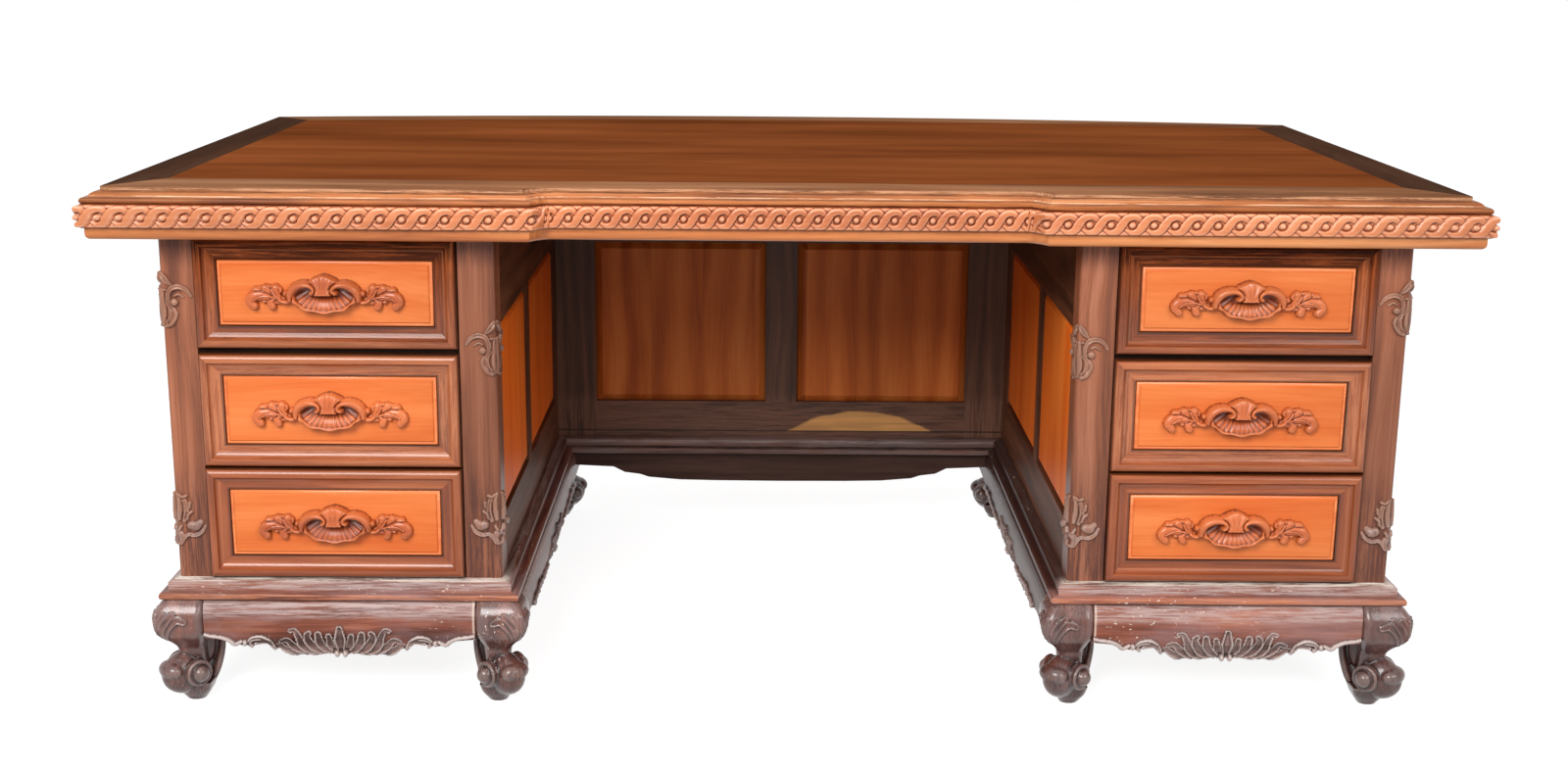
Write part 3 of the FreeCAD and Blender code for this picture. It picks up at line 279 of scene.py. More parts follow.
woods = {
    "field": {
        "colours": ((102, 52, 25), (120, 64, 32), (134, 74, 39)),
        "grain": (9, 240, 0.08, 0.14), "finish": (0.30, 0.0, 0.0, 0.02),
    },
    "border": {
        "colours": ((92, 62, 46), (132, 88, 60), (154, 114, 86)),
        "grain": (14, 260, 0.1, 0.16), "finish": (0.30, 0.0, 0.0, 0.02),
        "ends": (44, 31, 27), "joint": -0.4706,
        # the pale grey band along the fillet of the top's edge is a painted reflection
        "fillet": (204, 152, 116), "bands": ((0.7958, 0.003, 1.0, "fillet"),),
    },
    "moulding": {
        "colours": ((112, 60, 32), (166, 98, 54), (196, 130, 84)),
        "grain": (24, 260, 0.14, 0.16), "finish": (0.32, 0.05, 0.12, 0.05),
        "line": (62, 34, 24), "shine": (240, 196, 160),
        # the dark lines are painted shade in the creases of the profile, down to its joint with the band;
        # the pale one is a painted highlight on its round
        "bands": (
            (0.7935, 0.0022, 0.9, "line"), (0.7874, 0.0014, 0.7, "shine"),
            (0.7856, 0.0012, 0.6, "line"), (0.7782, 0.002, 0.9, "line"),
        ),
    },
    # paler than the upper moulding: painted light, for the light that falls on it below the band
    "lowerMoulding": {
        "colours": ((156, 84, 42), (190, 114, 62), (214, 146, 94)),
        "grain": (24, 260, 0.20, 0.12), "finish": (0.32, 0.15, 0.3, 0.05),
    },
    "band": {
        "colours": ((172, 92, 50), (198, 118, 74), (214, 140, 98)),
        "grain": (18, 240, 0.20, 0.10), "finish": (0.32, 0.3, 0.35, 0.04),
        "groove": (116, 52, 28), "grooveShare": 0.92, "crest": (238, 182, 148), "crestShare": 0.42,
    },
    "panel": {
        "colours": ((198, 90, 36), (210, 108, 50), (222, 126, 68)),
        "grain": (22, 300, 0.35, 0.08), "finish": (0.34, 0.1, 0.2, 0.03),
    },
    "bead": {
        "colours": ((200, 98, 46), (222, 120, 62), (240, 150, 94)),
        "grain": (30, 300, 0.2, 0.08), "finish": (0.3, 0.3, 0.4, 0.03),
    },
    "pull": {
        "colours": ((166, 76, 34), (190, 94, 46), (208, 114, 64)),
        "grain": (18, 260, 0.20, 0.10), "finish": (0.30, 0.2, 0.35, 0.04),
        "groove": (88, 32, 13), "grooveShare": 0.8, "crest": (214, 134, 86), "crestShare": 0.25,
    },
    "drawerFrame": {
        "colours": ((100, 46, 23), (142, 71, 36), (178, 102, 60)),
        "grain": (30, 260, 0.14, 0.16), "finish": (0.24, 0.25, 0.3, 0.05),
        "line": (46, 20, 11), "shine": (206, 134, 92),
        # edges: painted shade along the frame's outer and inner edges, and a painted highlight line on its
        # crest. Bands: painted shadow of the top on the upper rows, and a painted sheen on the middle row
        "edges": (0.0028, 0.0190, 0.0312), "shaded": (0.57, 0.705),
        "bands": ((0.726, 0.05, 0.8, "line"), (0.65, 0.13, 0.45, "line"), (0.4625, 0.1, 0.5, "shine")),
    },
    "post": {
        "colours": ((100, 58, 42), (142, 85, 60), (168, 110, 84)),
        "grain": (34, 420, 0.14, 0.22), "finish": (0.36, 0.1, 0.2, 0.06),
        # darker low on the posts, and painted shade just under the top
        "line": (66, 38, 36), "bands": ((0.23, 0.17, 0.75, "line"), (0.74, 0.07, 0.6, "line")),
    },
    "sideFrame": {
        "colours": ((58, 34, 24), (94, 56, 38), (124, 80, 56)),
        "grain": (44, 360, 0.2, 0.16), "finish": (0.44, 0.0, 0.06, 0.05),
    },
    "postCarving": {
        "colours": ((92, 54, 40), (134, 86, 64), (162, 112, 88)),
        "grain": (40, 420, 0.14, 0.16), "finish": (0.32, 0.15, 0.3, 0.06),
        # the pale grey band over the lower ornaments is a painted sheen
        "bloom": (148, 112, 94), "film": (160, 138, 134), "bands": ((0.23, 0.10, 0.6, "film"),),
        "groove": (50, 30, 24), "grooveShare": 0.75, "crest": (180, 142, 122), "crestShare": 0.3,
    },
    "knee": {
        "colours": ((222, 98, 26), (238, 112, 34), (246, 134, 54)),
        "grain": (18, 280, 0.30, 0.10), "finish": (0.42, 0.0, 0.06, 0.03),
    },
    "modestyPanel": {
        "colours": ((172, 84, 34), (204, 108, 46), (222, 130, 64)),
        "grain": (16, 260, 0.45, 0.14), "finish": (0.40, 0.0, 0.15, 0.04),
        "boards": (0.1, 0.052),  # how wide they are, and how far the first joint is from the middle
    },
    "modestyFrame": {
        "colours": ((56, 38, 30), (90, 60, 46), (118, 80, 60)),
        "grain": (34, 300, 0.30, 0.16), "finish": (0.42, 0.0, 0.2, 0.06),
        "sapwood": (250, 186, 112), "arch": (0.153, 0.146, 0.040),  # its middle, half width and height
        "plinth": 0.211, "gap": (14, 10, 9), "film": (140, 100, 82), "bands": ((0.236, 0.06, 0.6, "film"),),
    },
    "base": {
        "colours": ((66, 34, 26), (124, 70, 54), (168, 108, 86)),
        "grain": (50, 300, 0.24, 0.20), "finish": (0.34, 0.04, 0.16, 0.06),
        # the last pair: painted shade along the kneehole, on the left and on the right
        "seams": (0.8865, 0.4735), "behind": 0.3, "kneeholeShade": (0.3, 0.88),
        "bloom": (156, 130, 132), "scuffs": (226, 206, 190), "bare": (232, 220, 206),
        "film": (184, 162, 157), "line": (52, 32, 28), "warm": (204, 132, 98),
        # bands: greyed bands on the apron's and the waist's upward curves, partly painted sheen; a top edge
        # worn bare; a painted highlight on the lower step, with painted shade in the dark line under it
        "bands": (
            (0.157, 0.018, 0.75, "film"), (0.191, 0.011, 0.9, "film"), (0.1985, 0.003, 0.9, "bare"),
            (0.176, 0.006, 0.6, "warm"), (0.1695, 0.0016, 0.8, "line"),
        ),
    },
    "apronCarving": {
        "colours": ((56, 31, 26), (120, 90, 82), (158, 126, 118)),
        "grain": (50, 300, 0.2, 0.16), "finish": (0.34, 0.1, 0.25, 0.06), "bloom": (172, 156, 154),
        "groove": (38, 22, 19), "grooveShare": 0.9, "crest": (204, 188, 182), "crestShare": 0.75,
    },
    "leg": {
        "colours": ((50, 25, 20), (92, 49, 38), (134, 81, 63)),
        "grain": (30, 300, 0.20, 0.20), "finish": (0.25, 0.45, 0.3, 0.06),
        "bloom": (132, 112, 112), "scuffs": (220, 202, 188), "film": (196, 176, 172), "sooty": (54, 32, 31),
        # the feet darker towards the floor; the greyed band on the knee's top is partly a painted sheen
        "bands": ((0.160, 0.014, 0.15, "film"), (0.03, 0.065, 0.9, "sooty")),
        "groove": (40, 24, 22), "grooveShare": 0.9, "crest": (168, 146, 138), "crestShare": 0.3,
    },
    # much darker than the other aprons: painted shade under the waist link, at the back of the kneehole
    "linkApron": {
        "colours": ((34, 22, 19), (62, 42, 36), (86, 62, 54)),
        "grain": (30, 300, 0.20, 0.20), "finish": (0.4, 0.0, 0.1, 0.06),
    },
    "link": {
        "colours": ((44, 28, 24), (104, 72, 62), (140, 106, 94)),
        "grain": (30, 300, 0.20, 0.20), "finish": (0.36, 0.1, 0.2, 0.06),
        "bloom": (140, 126, 124), "line": (22, 15, 13), "film": (176, 160, 156),
        # the dark line is painted shade low on the waist link, the pale band a painted highlight along its
        # upper edge
        "bands": ((0.1815, 0.0025, 0.9, "line"), (0.1935, 0.005, 0.65, "film")),
    },
    "inner": {
        "colours": ((168, 128, 84), (198, 160, 114), (216, 184, 140)),
        "grain": (20, 260, 0.35, 0.08), "finish": (0.62, 0.0, 0.3, 0.06),
    },
    # painted shade: the rails seen through the gaps between the drawers are as dark as the shadow there
    "rail": {
        "colours": ((34, 22, 18), (52, 34, 28), (70, 48, 38)),
        "grain": (40, 260, 0.3, 0.1), "finish": (0.6, 0.0, 0.1, 0.06),
    },
}


# Layers over the plain wood. Each gives pairs of a share and a colour, laid on one after another.

def bloomOn(spot, look):
    # a greyed, worn bloom on the old finish
    patch = spread(noiseOn(spot["along"], (5.0, 14.0, 14.0), 4.0, 0.65), 0.42, 0.68)
    return [(times(patch, 0.4), look["bloom"])]


def endsOn(spot, look):
    # a joint shows in front of the field, and the side planks are darker
    joint = spread(offFrom(spot["y"], look["joint"]), 0.0005, 0.0016, 0.8, 0.0)
    return [(joint, look["ends"]), (times(borderEnds(spot["place"]), 0.8), look["ends"])]


def bandsOn(spot, look):
    # at some heights, in patches and less of it behind the front: a greyed layer partly of old finish and
    # partly painted sheen, an edge worn bare, painted shade lines in creases and under overhangs, or painted
    # highlights
    patchy = spread(noiseOn(spot["along"], (12.0, 260.0, 260.0), 6.0, 0.8), 0.40, 0.58)
    # these patches hold the painted shade, highlights and sheens as well as the wear
    worn = times(patchy, spread(spot["y"], -0.54, -0.48, 1.0, look.get("behind", 1.0)))
    stains = []
    for level, reach, share, film in look["bands"]:
        near = spread(offFrom(spot["z"], level), reach * 0.4, reach, share, 0.0)
        stains.append((times(near, worn), look[film]))
    return stains


def edgesOn(spot, look):
    # painted shade along a frame's outer and inner edges, and a painted highlight line on its crest between
    # them
    away = calc("MINIMUM", *fromFrameEdges(spot["place"]))
    outer, crestLine, inner = look["edges"]
    pale = spread(offFrom(away, crestLine), 0.0006, 0.0018, 0.18, 0.0)
    outside = spread(away, outer * 0.4, outer, 0.75, 0.0)
    inside = spread(away, inner - 0.0015, inner, 0.0, 0.65)
    return [(pale, look["shine"]), (calc("MAXIMUM", outside, inside), look["line"])]


def kneeholeShadeOn(spot, look):
    # painted shade on the faces along the kneehole, more on the right one than the left
    normal = parts(addNode(treeOf(spot["place"]), "NewGeometry").outputs["Normal"])
    inward = times(calc("LESS_THAN", sizeOf(spot["x"]), 0.5), calc("LESS_THAN", sizeOf(normal[1]), 0.4))
    inward = times(inward, spread(spot["y"], -0.55, -0.50))
    return [(times(inward, spread(spot["x"], -0.1, 0.1, *look["kneeholeShade"])), look["line"])]


def sapwoodOn(spot, look):
    # a pale arch of sapwood low on the rail, over the line of the plinth
    middle, half, tall = look["arch"]
    off = calc("DIVIDE", minus(spot["x"], middle), half)
    arch = calc("MULTIPLY_ADD", times(off, off), -tall, tall + look["plinth"])
    wavy = calc("MULTIPLY_ADD", noiseOn(spot["place"], (14.0, 1.0, 40.0)), 0.016, -0.008)
    under = spread(minus(calc("ADD", spot["z"], wavy), arch), -0.004, 0.002, 0.9, 0.0)
    share = times(under, calc("GREATER_THAN", spot["z"], look["plinth"]))
    streaky = times(share, spread(spot["streaks"], 0.3, 0.6, 0.6, 1.0))
    joint = spread(offFrom(spot["z"], look["plinth"]), 0.0006, 0.002, 0.85, 0.0)
    return [(streaky, look["sapwood"]), (joint, look["gap"])]


def seamsOn(spot, look):
    # pale lines along the upright joints to the legs, below the waist
    low = calc("LESS_THAN", spot["z"], 0.1695)
    lines = [spread(offFrom(sizeOf(spot["x"]), x), 0.0008, 0.0022, 0.55, 0.0) for x in look["seams"]]
    return [(times(line, low), look["scuffs"]) for line in lines]


def grooveOn(spot, look):
    # dark in the carving's grooves, pale on its crests: partly dirt and wear, partly painted shade in the
    # hollows and painted highlights on the crests
    carving = addNode(treeOf(spot["place"]), "Attribute", attribute_name="carving").outputs["Fac"]
    low = spread(carving, 0.12, 0.45, look["grooveShare"], 0.0)
    high = spread(carving, 0.62, 1.0, 0.0, look["crestShare"])
    return [(low, look["groove"]), (high, look["crest"])]


def scuffsOn(spot, look):
    # small pale specks, in patches
    speck = spread(noiseOn(spot["along"], (120.0, 230.0, 230.0), 2.0, 0.5), 0.66, 0.71)
    where = spread(noiseOn(spot["place"], (8.0, 8.0, 8.0), 2.0), 0.48, 0.62)
    return [(times(speck, where), look["scuffs"])]


layers = {
    "bloom": bloomOn, "ends": endsOn, "bands": bandsOn, "edges": edgesOn, "kneeholeShade": kneeholeShadeOn,
    "sapwood": sapwoodOn, "seams": seamsOn, "groove": grooveOn, "scuffs": scuffsOn,
}


def makeWood(name, look, grain):
    material, tree, shader = newMaterial(name)
    place = addNode(tree, "TexCoord").outputs["Object"]
    x, y, z = parts(place)
    along = grain(place)
    if "boards" in look:  # upright boards side by side, each from another part of the tree
        width, start = look["boards"]
        pick = addNode(tree, "TexWhiteNoise", noise_dimensions="1D")
        fill(pick, {"W": calc("FLOOR", calc("DIVIDE", calc("ADD", x, start), width))})
        along = calc("ADD", along, pick.outputs["Color"], kind="VectorMath")
    wander = noiseOn(along, (1.6, 3.4, 3.4), 2.0, 0.5).node.outputs["Color"]
    grained = calc("MULTIPLY_ADD", wander, (0.0, 0.055, 0.055), along, kind="VectorMath")
    streaks, fibres, figure, change = look["grain"]
    streak = noiseOn(grained, (1.3, streaks, streaks), 5.0, 0.6, 0.35)
    fibre = noiseOn(grained, (7.0, fibres, fibres), 3.0, 0.6)
    rings = addNode(tree, "TexWave", wave_type="BANDS", bands_direction="Y", wave_profile="SIN")
    fill(rings, {"Vector": stretched(grained, (0.22, 1.0, 1.0)), "Scale": streaks * 0.35})
    fill(rings, {"Distortion": 5.0, "Detail": 3.0, "Detail Scale": 1.6})
    mixed = calc("MULTIPLY_ADD", rings.outputs[1], figure * 0.5, times(streak, 1.0 - figure * 0.5))
    mixed = calc("MULTIPLY_ADD", minus(fibre, 0.5), 0.32, mixed)
    ramp = fill(addNode(tree, "ValToRGB"), {0: mixed})
    dark, plain, light = (tint(*colour) for colour in look["colours"])
    stops = ramp.color_ramp.elements
    stops[0].position, stops[0].color = 0.30, dark
    stops[1].position, stops[1].color = 0.72, light
    stops.new(0.50).color = plain
    tone = spread(noiseOn(along, (1.5, 5.0, 5.0), 2.0), 0.3, 0.7, 1.0 - change, 1.0 + change)
    colour = fill(addNode(tree, "HueSaturation"), {"Value": tone, "Color": ramp.outputs[0]}).outputs[0]
    spot = {"place": place, "along": along, "x": x, "y": y, "z": z, "streaks": mixed}
    for key, layer in layers.items():
        if key in look:
            for share, stain in layer(spot, look):
                colour = blendColours(share, colour, tint(*stain))
    rough, coat, gloss, pores = look["finish"]
    if "shaded" in look:  # no shine high up, in the shade of the top
        lit = spread(z, *look["shaded"], 1.0, 0.1)
        coat, gloss = times(lit, coat), times(lit, gloss)
    bump = fill(addNode(tree, "Bump"), {"Strength": pores, "Distance": 0.002, "Height": fibre})
    fill(shader, {"Base Color": colour, "Roughness": calc("MULTIPLY_ADD", fibre, 0.16, rough - 0.05)})
    fill(shader, {"Coat Weight": coat, "Coat Roughness": 0.2, "Specular IOR Level": gloss})
    fill(shader, {"Normal": bump.outputs[0]})
    return material


def makeSteel():
    material, tree, shader = newMaterial("screwSteel")
    place = addNode(tree, "TexCoord").outputs["Object"]
    grey = blendColours(noiseOn(place, (300.0, 300.0, 300.0)), tint(150, 148, 142), tint(196, 194, 188))
    rough = spread(noiseOn(place, (500.0, 500.0, 500.0)), 0.3, 0.7, 0.25, 0.45)
    fill(shader, {"Base Color": grey, "Metallic": 1.0, "Roughness": rough})
    return material


finishes = {  # each wood's look, the way of its grain, and how the names of the CAD pieces in it begin
    "fieldWood": ("field", grainAcross, "top_field"),
    "borderWood": ("border", grainOfBorder, "top_border"),
    "mouldingWood": ("moulding", grainRoundTop, "top_edge_moulding"),
    "lowerMouldingWood": ("lowerMoulding", grainRoundTop, "under_moulding"),
    "bandWood": ("band", grainRoundTop, "carved_band"),
    "panelWood": ("panel", grainAcross, "drawer_panel", "back_panel"),
    "pullWood": ("pull", grainAcross, "drawer_pull"),
    "beadWood": ("bead", grainAcross),
    "drawerFrameWood": ("drawerFrame", grainOfDrawerFrame, "drawer_frame"),
    "postWood": ("post", grainUp, "front_posts", "back_posts"),
    "postCarvingWood": ("postCarving", grainUp),
    "sideFrameWood": ("sideFrame", grainOfSideFrame, "side_frame"),
    "backFrameWood": ("post", grainAcross, "back_frame"),
    "sidePanelWood": ("knee", grainUp, "side_panels"),
    "outerPanelWood": ("modestyPanel", grainUp, "side_panels_left_outer", "side_panels_right_outer"),
    "outerFrameWood": ("post", grainOfSideFrame, "side_frame_left_outer", "side_frame_right_outer"),
    "modestyPanelWood": ("modestyPanel", grainUp, "modesty_panels"),
    "modestyFrameWood": ("modestyFrame", grainOfModesty, "modesty_frame"),
    "baseWood": ("base", grainRoundPedestal, "waist_moulding", "aprons"),
    "apronCarvingWood": ("apronCarving", grainRoundPedestal),
    "legWood": ("leg", grainUp, "legs"),
    "linkWood": ("link", grainAcross, "waist_moulding_link"),
    "linkApronWood": ("linkApron", grainAcross, "apron_link"),
    "drawerBoxWood": ("inner", grainDeep, "drawer_box"),
    "shadowedRailWood": ("rail", grainAcross, "drawer_rails"),
    "bearerWood": ("inner", grainAcross, "top_bearers"),
}
materials = {}
covers = {"top_screws": makeSteel()}
for woodName, (look, grain, *beginnings) in finishes.items():
    materials[woodName] = makeWood(woodName, woods[look], grain)
    for beginning in beginnings:
        covers[beginning] = materials[woodName]
for nodeName, holder in nodes.items():
    beginning = max((b for b in covers if nodeName.startswith(b)), key=len)
    holder.data.materials.clear()
    holder.data.materials.append(covers[beginning])
print("woods done")


# Carving. A relief is a set of strokes, each a smooth line with widths and heights along it, in millimetres.

def dome(off):
    # a half circle's height at a share of its radius
    return np.sqrt(np.clip(1 - off ** 2, 0, 1))


def eased(share):
    return share * share * (3 - 2 * share)


def over(ground, body, share):
    return ground * (1 - share) + body * share


strokeForms = {  # height across a stroke, from nought on its line to one at its edge
    "round": lambda off: 0.4 + 0.6 * dome(off),
    "flat": lambda off: 0.78 + 0.22 * dome(off),
    # two rounded halves with a vein between them
    "leaf": lambda off: (0.45 + 0.55 * dome(off)) * (1 - 0.38 * np.exp(-(off / 0.28) ** 2)),
    # a hollow petal in a thin raised rim
    "spoon": lambda off: (0.14 + 0.86 * off ** 4) * np.clip((1 - off) / 0.12, 0.75, 1),
    # a hollow strap with raised edges
    "strap": lambda off: (0.62 + 0.38 * off ** 2) * np.clip((1 - off) / 0.16, 0.7, 1),
}


def smoothLine(points, steps=7):
    points = np.array(points, float)
    if len(points) == 1:
        return points
    ends = np.vstack([2 * points[0] - points[1], points, 2 * points[-1] - points[-2]])
    out = []
    for a, b, c, d in zip(ends, ends[1:], ends[2:], ends[3:]):
        for t in np.arange(steps) / steps:
            square, cube = 2 * a - 5 * b + 4 * c - d, 3 * b - a - 3 * c + d
            out.append(0.5 * (2 * b + (c - a) * t + square * t ** 2 + cube * t ** 3))
    out.append(points[-1])
    return np.array(out)


def lengthsAlong(line):
    return np.concatenate([[0], np.cumsum(np.hypot(*(line[1:] - line[:-1]).T))])


def nearLine(u, v, line):
    # for each point: how far the line is, and the nearest spot's share of the line's length
    if len(line) == 1:
        return np.hypot(u - line[0, 0], v - line[0, 1]), np.zeros_like(u)
    best = np.full(u.shape, 1e9)
    share = np.zeros_like(u)
    marks = lengthsAlong(line)
    for (a, b), (c, d), start, end in zip(line, line[1:], marks, marks[1:]):
        length = end - start
        t = np.clip(((u - a) * (c - a) + (v - b) * (d - b)) / max(length, 1e-6) ** 2, 0, 1)
        away = np.hypot(u - a - t * (c - a), v - b - t * (d - b))
        share = np.where(away < best, (start + t * length) / marks[-1], share)
        best = np.minimum(away, best)
    return best, share


def carve(u, v, strokes, ground, soft=0.6, cut=1.3, floor=None, trench=1.6):
    # strokes laid on one after another, each with a trench cut round it
    height = ground + np.zeros_like(u)
    floor = height.min() - 0.2 if floor is None else floor
    for path, wide, high, form in strokes:
        away, share = nearLine(u, v, smoothLine(path))
        reach = np.interp(share, np.linspace(0, 1, len(wide)), wide)
        tall = np.interp(share, np.linspace(0, 1, len(high)), high)
        body = tall * strokeForms[form](np.clip(away / reach, 0, 1))
        moat = np.exp(-(np.clip(away - reach, 0, None) / cut) ** 2)
        height = height - moat * np.clip(height - floor, 0, trench) * 0.8
        height = over(height, body, eased(np.clip((reach - away) / soft + 0.5, 0, 1)))
    return height


def mirrored(strokes):
    return strokes + [([(-a, b) for a, b in path], *rest) for path, *rest in strokes]


def gridOf(halfWide, low, high, step):
    # even points across and up a face
    across = np.arange(-halfWide, halfWide + 0.01, step)
    return np.meshgrid(across, np.arange(low, high + 0.01, step), indexing="ij")


def blurred(values, reach):
    # a box blur, with the edges held
    for axis in (0, 1):
        around = [(reach, reach) if k == axis else (0, 0) for k in (0, 1)]
        padded = np.pad(values, around, "edge")
        values = np.lib.stride_tricks.sliding_window_view(padded, 2 * reach + 1, axis).mean(-1)
    return values


def carvingShade(heights, reach=3, depth=3.2):
    return np.clip(0.5 + (heights - blurred(heights, reach)) / depth, 0, 1)


def makeMesh(name, points, faces, material, shade=None):
    mesh = bpy.data.meshes.new(name)
    mesh.from_pydata(points, [], faces)
    mesh.polygons.foreach_set("use_smooth", [True] * len(mesh.polygons))
    if shade is not None:
        layer = mesh.attributes.new("carving", "FLOAT", "POINT")
        layer.data.foreach_set("value", np.ascontiguousarray(shade, np.float32).ravel())
    mesh.materials.append(material)
    mesh.update()
    return newObject(name, mesh)


def tubeFaces(turns, facets):
    # the faces of a closed tube, whose points go ring by ring
    index = np.arange(turns * facets).reshape(turns, facets)
    after = np.roll(index, -1, 0)
    return np.stack([index, after, np.roll(after, -1, 1), np.roll(index, -1, 1)], -1).reshape(-1, 4).tolist()


def reliefMesh(name, blocks, material):
    # blocks: grids of points, directions, heights and painted shade, how deep the back lies, the least
    # height kept
    points, faces, shades = [], [], []
    for base, ways, heights, paintedShade, deep, least in blocks:
        front = base + ways * heights[..., None] * mm
        back = base - ways * deep * mm
        start = len(points)
        index = np.arange(heights.size).reshape(heights.shape)
        quads = np.stack([index[:-1, :-1], index[1:, :-1], index[1:, 1:], index[:-1, 1:]], -1).reshape(-1, 4)
        kept = quads[heights.ravel()[quads].max(1) > least]
        edges = dict.fromkeys(pair for quad in kept.tolist() for pair in zip(quad, quad[1:] + quad[:1]))
        used = np.unique(kept)
        count = len(used)
        place = np.full(heights.size, -1)
        place[used] = np.arange(count) + start
        points += front.reshape(-1, 3)[used].tolist() + back.reshape(-1, 3)[used].tolist()
        shades += (carvingShade(heights) * (1 - paintedShade)).ravel()[used].tolist() + [0.5] * count
        top = place[kept]
        faces += top.tolist() + (top[:, ::-1] + count).tolist()
        for a, b in edges:
            if (b, a) not in edges:  # a wall along the relief's edge
                p, q = int(place[a]), int(place[b])
                faces.append([q, p, p + count, q + count])
    return makeMesh(name, points, faces, material, np.array(shades))


# The carved band round the top: a running wave with a ball in each turn

bandCarving = {
    "columns": 28, "rows": 32,  # to one turn of the wave
    "turns": {"front": 21, "hollow": 2, "middle": 25, "end": 36, "back": 69},
    "root": 23.0, "lap": 12.0, "low": 742.0, "high": 777.0, "pitch": 28.7,
    "ribbon": [
        (-37, -8), (-29, -11.8), (-20, -9.0), (-14, 0), (-8, 8), (0, 11.4), (7, 9.8), (11.5, 4.5), (13, -1),
    ],
    "wide": [2.2, 4.0, 5.7, 6.2, 5.9, 5.3, 4.8, 4.0, 2.8],
    "tall": [6.0, 7.0, 7.8, 8.6, 8.8, 8.6, 8.0, 7.2, 6.0],
    "ground": 5.2, "least": 0.6, "most": 9.6, "ball": 4.7, "ballTall": 8.8,
}


def bandTile(values):
    pitch, ball = values["pitch"], values["ball"]
    across = np.arange(values["columns"]) / values["columns"] * pitch
    halfHigh = (values["high"] - values["low"]) / 2
    u, v = np.meshgrid(across, np.linspace(-halfHigh, halfHigh, values["rows"]), indexing="ij")
    strokes = []
    for k in range(-2, 3):
        ribbon = [(a + k * pitch, b) for a, b in values["ribbon"]]
        strokes.append((ribbon, values["wide"], values["tall"], "flat"))
    height = carve(u, v, strokes, values["ground"], cut=1.0, floor=1.0, trench=3.2)
    for k in range(-1, 3):
        away = np.hypot(u - k * pitch, v + 1)
        ring = np.exp(-((away - ball - 0.8) / 0.9) ** 2)
        height = height - ring * np.clip(height - 1.6, 0, None)
        body = values["ballTall"] * (0.45 + 0.55 * dome(away / ball))
        height = over(height, body, np.clip((ball - away) / 0.7 + 0.5, 0, 1))
    edge = eased(np.clip((halfHigh - np.abs(v)) / 3.0, 0, 1))
    return np.clip(height, values["least"], values["most"]) * edge


def bandOutline(plan, turns):
    # plan points of the top's outline, in stretches, with each one's turns of the wave
    half, front, back, bow = (plan[k] for k in ("half", "front", "back", "bow"))
    startX, runX, runY, bend = plan["hollow"]
    bend = math.radians(bend)
    hollowRadius = math.hypot(runX, runY) / (2 * math.sin(bend / 2))
    first = math.atan2(runY, runX) + bend / 2
    hollow = []
    for heading in np.linspace(first, first - bend, 6):
        x = startX + hollowRadius * (math.sin(first) - math.sin(heading))
        hollow.append((x, front + hollowRadius * (math.cos(heading) - math.cos(first))))
    otherHollow = [(-x, y) for x, y in reversed(hollow)]
    radius = (half ** 2 + bow ** 2) / (2 * bow)
    reach = math.asin(half / radius)
    centre = back + bow - radius
    arc = [(radius * math.sin(a), centre + radius * math.cos(a)) for a in np.linspace(reach, -reach, 61)]
    return [
        ([(-half, front), hollow[0]], turns["front"]), (hollow, turns["hollow"]),
        ([hollow[-1], otherHollow[0]], turns["middle"]), (otherHollow, turns["hollow"]),
        ([otherHollow[-1], (half, front)], turns["front"]), ([(half, front), (half, back)], turns["end"]),
        (arc, turns["back"]), ([(-half, back), (-half, front)], turns["end"]),
    ]


def roundOutline(stretches, columns):
    # evenly spaced columns: plan point and mitred outward step for each
    corners = np.array([point for points, count in stretches for point in points[:-1]])
    steps = []
    for last, here, following in zip(np.roll(corners, 1, 0), corners, np.roll(corners, -1, 0)):
        before, after = here - last, following - here
        n1 = np.array((before[1], -before[0])) / np.linalg.norm(before)
        n2 = np.array((after[1], -after[0])) / np.linalg.norm(after)
        steps.append((n1 + n2) / (1 + n1 @ n2))
    steps = np.array(steps)
    places, outward = [], []
    first = 0
    for points, count in stretches:
        chosen = np.arange(first, first + len(points)) % len(corners)
        along = lengthsAlong(corners[chosen])
        spots = np.linspace(0, along[-1], count * columns, endpoint=False)
        for found, table in ((places, corners), (outward, steps)):
            found.append(np.stack([np.interp(spots, along, table[chosen, k]) for k in (0, 1)], 1))
        first += len(points) - 1
    return np.concatenate(places), np.concatenate(outward)


def makeBand(values):
    tile = bandTile(values)
    places, outward = roundOutline(bandOutline(topPlan, values["turns"]), values["columns"])
    heights = np.tile(tile, (len(places) // values["columns"], 1))
    out = np.full((len(places), values["rows"] + 2), -values["lap"])
    out[:, 1:-1] = values["root"] + heights
    levels = np.linspace(values["low"], values["high"], values["rows"])
    points = np.zeros(out.shape + (3,))
    points[..., :2] = places[:, None] + outward[:, None] * out[..., None]
    points[..., 2] = np.concatenate([levels[:1], levels, levels[-1:]])
    shade = np.full(out.shape, 0.5)
    wrapped = np.concatenate([heights[-8:], heights, heights[:8]])
    shade[:, 1:-1] = carvingShade(wrapped)[8:-8]
    points = (points * mm).reshape(-1, 3).tolist()
    return makeMesh("carvedWaveBand", points, tubeFaces(*out.shape), materials["bandWood"], shade)


waveBand = makeBand(bandCarving)
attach(waveBand, "desk")
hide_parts("carved_band")
print("band done")

# The carved pull on each drawer: a shell over a finger hollow, between two sprays of leaves

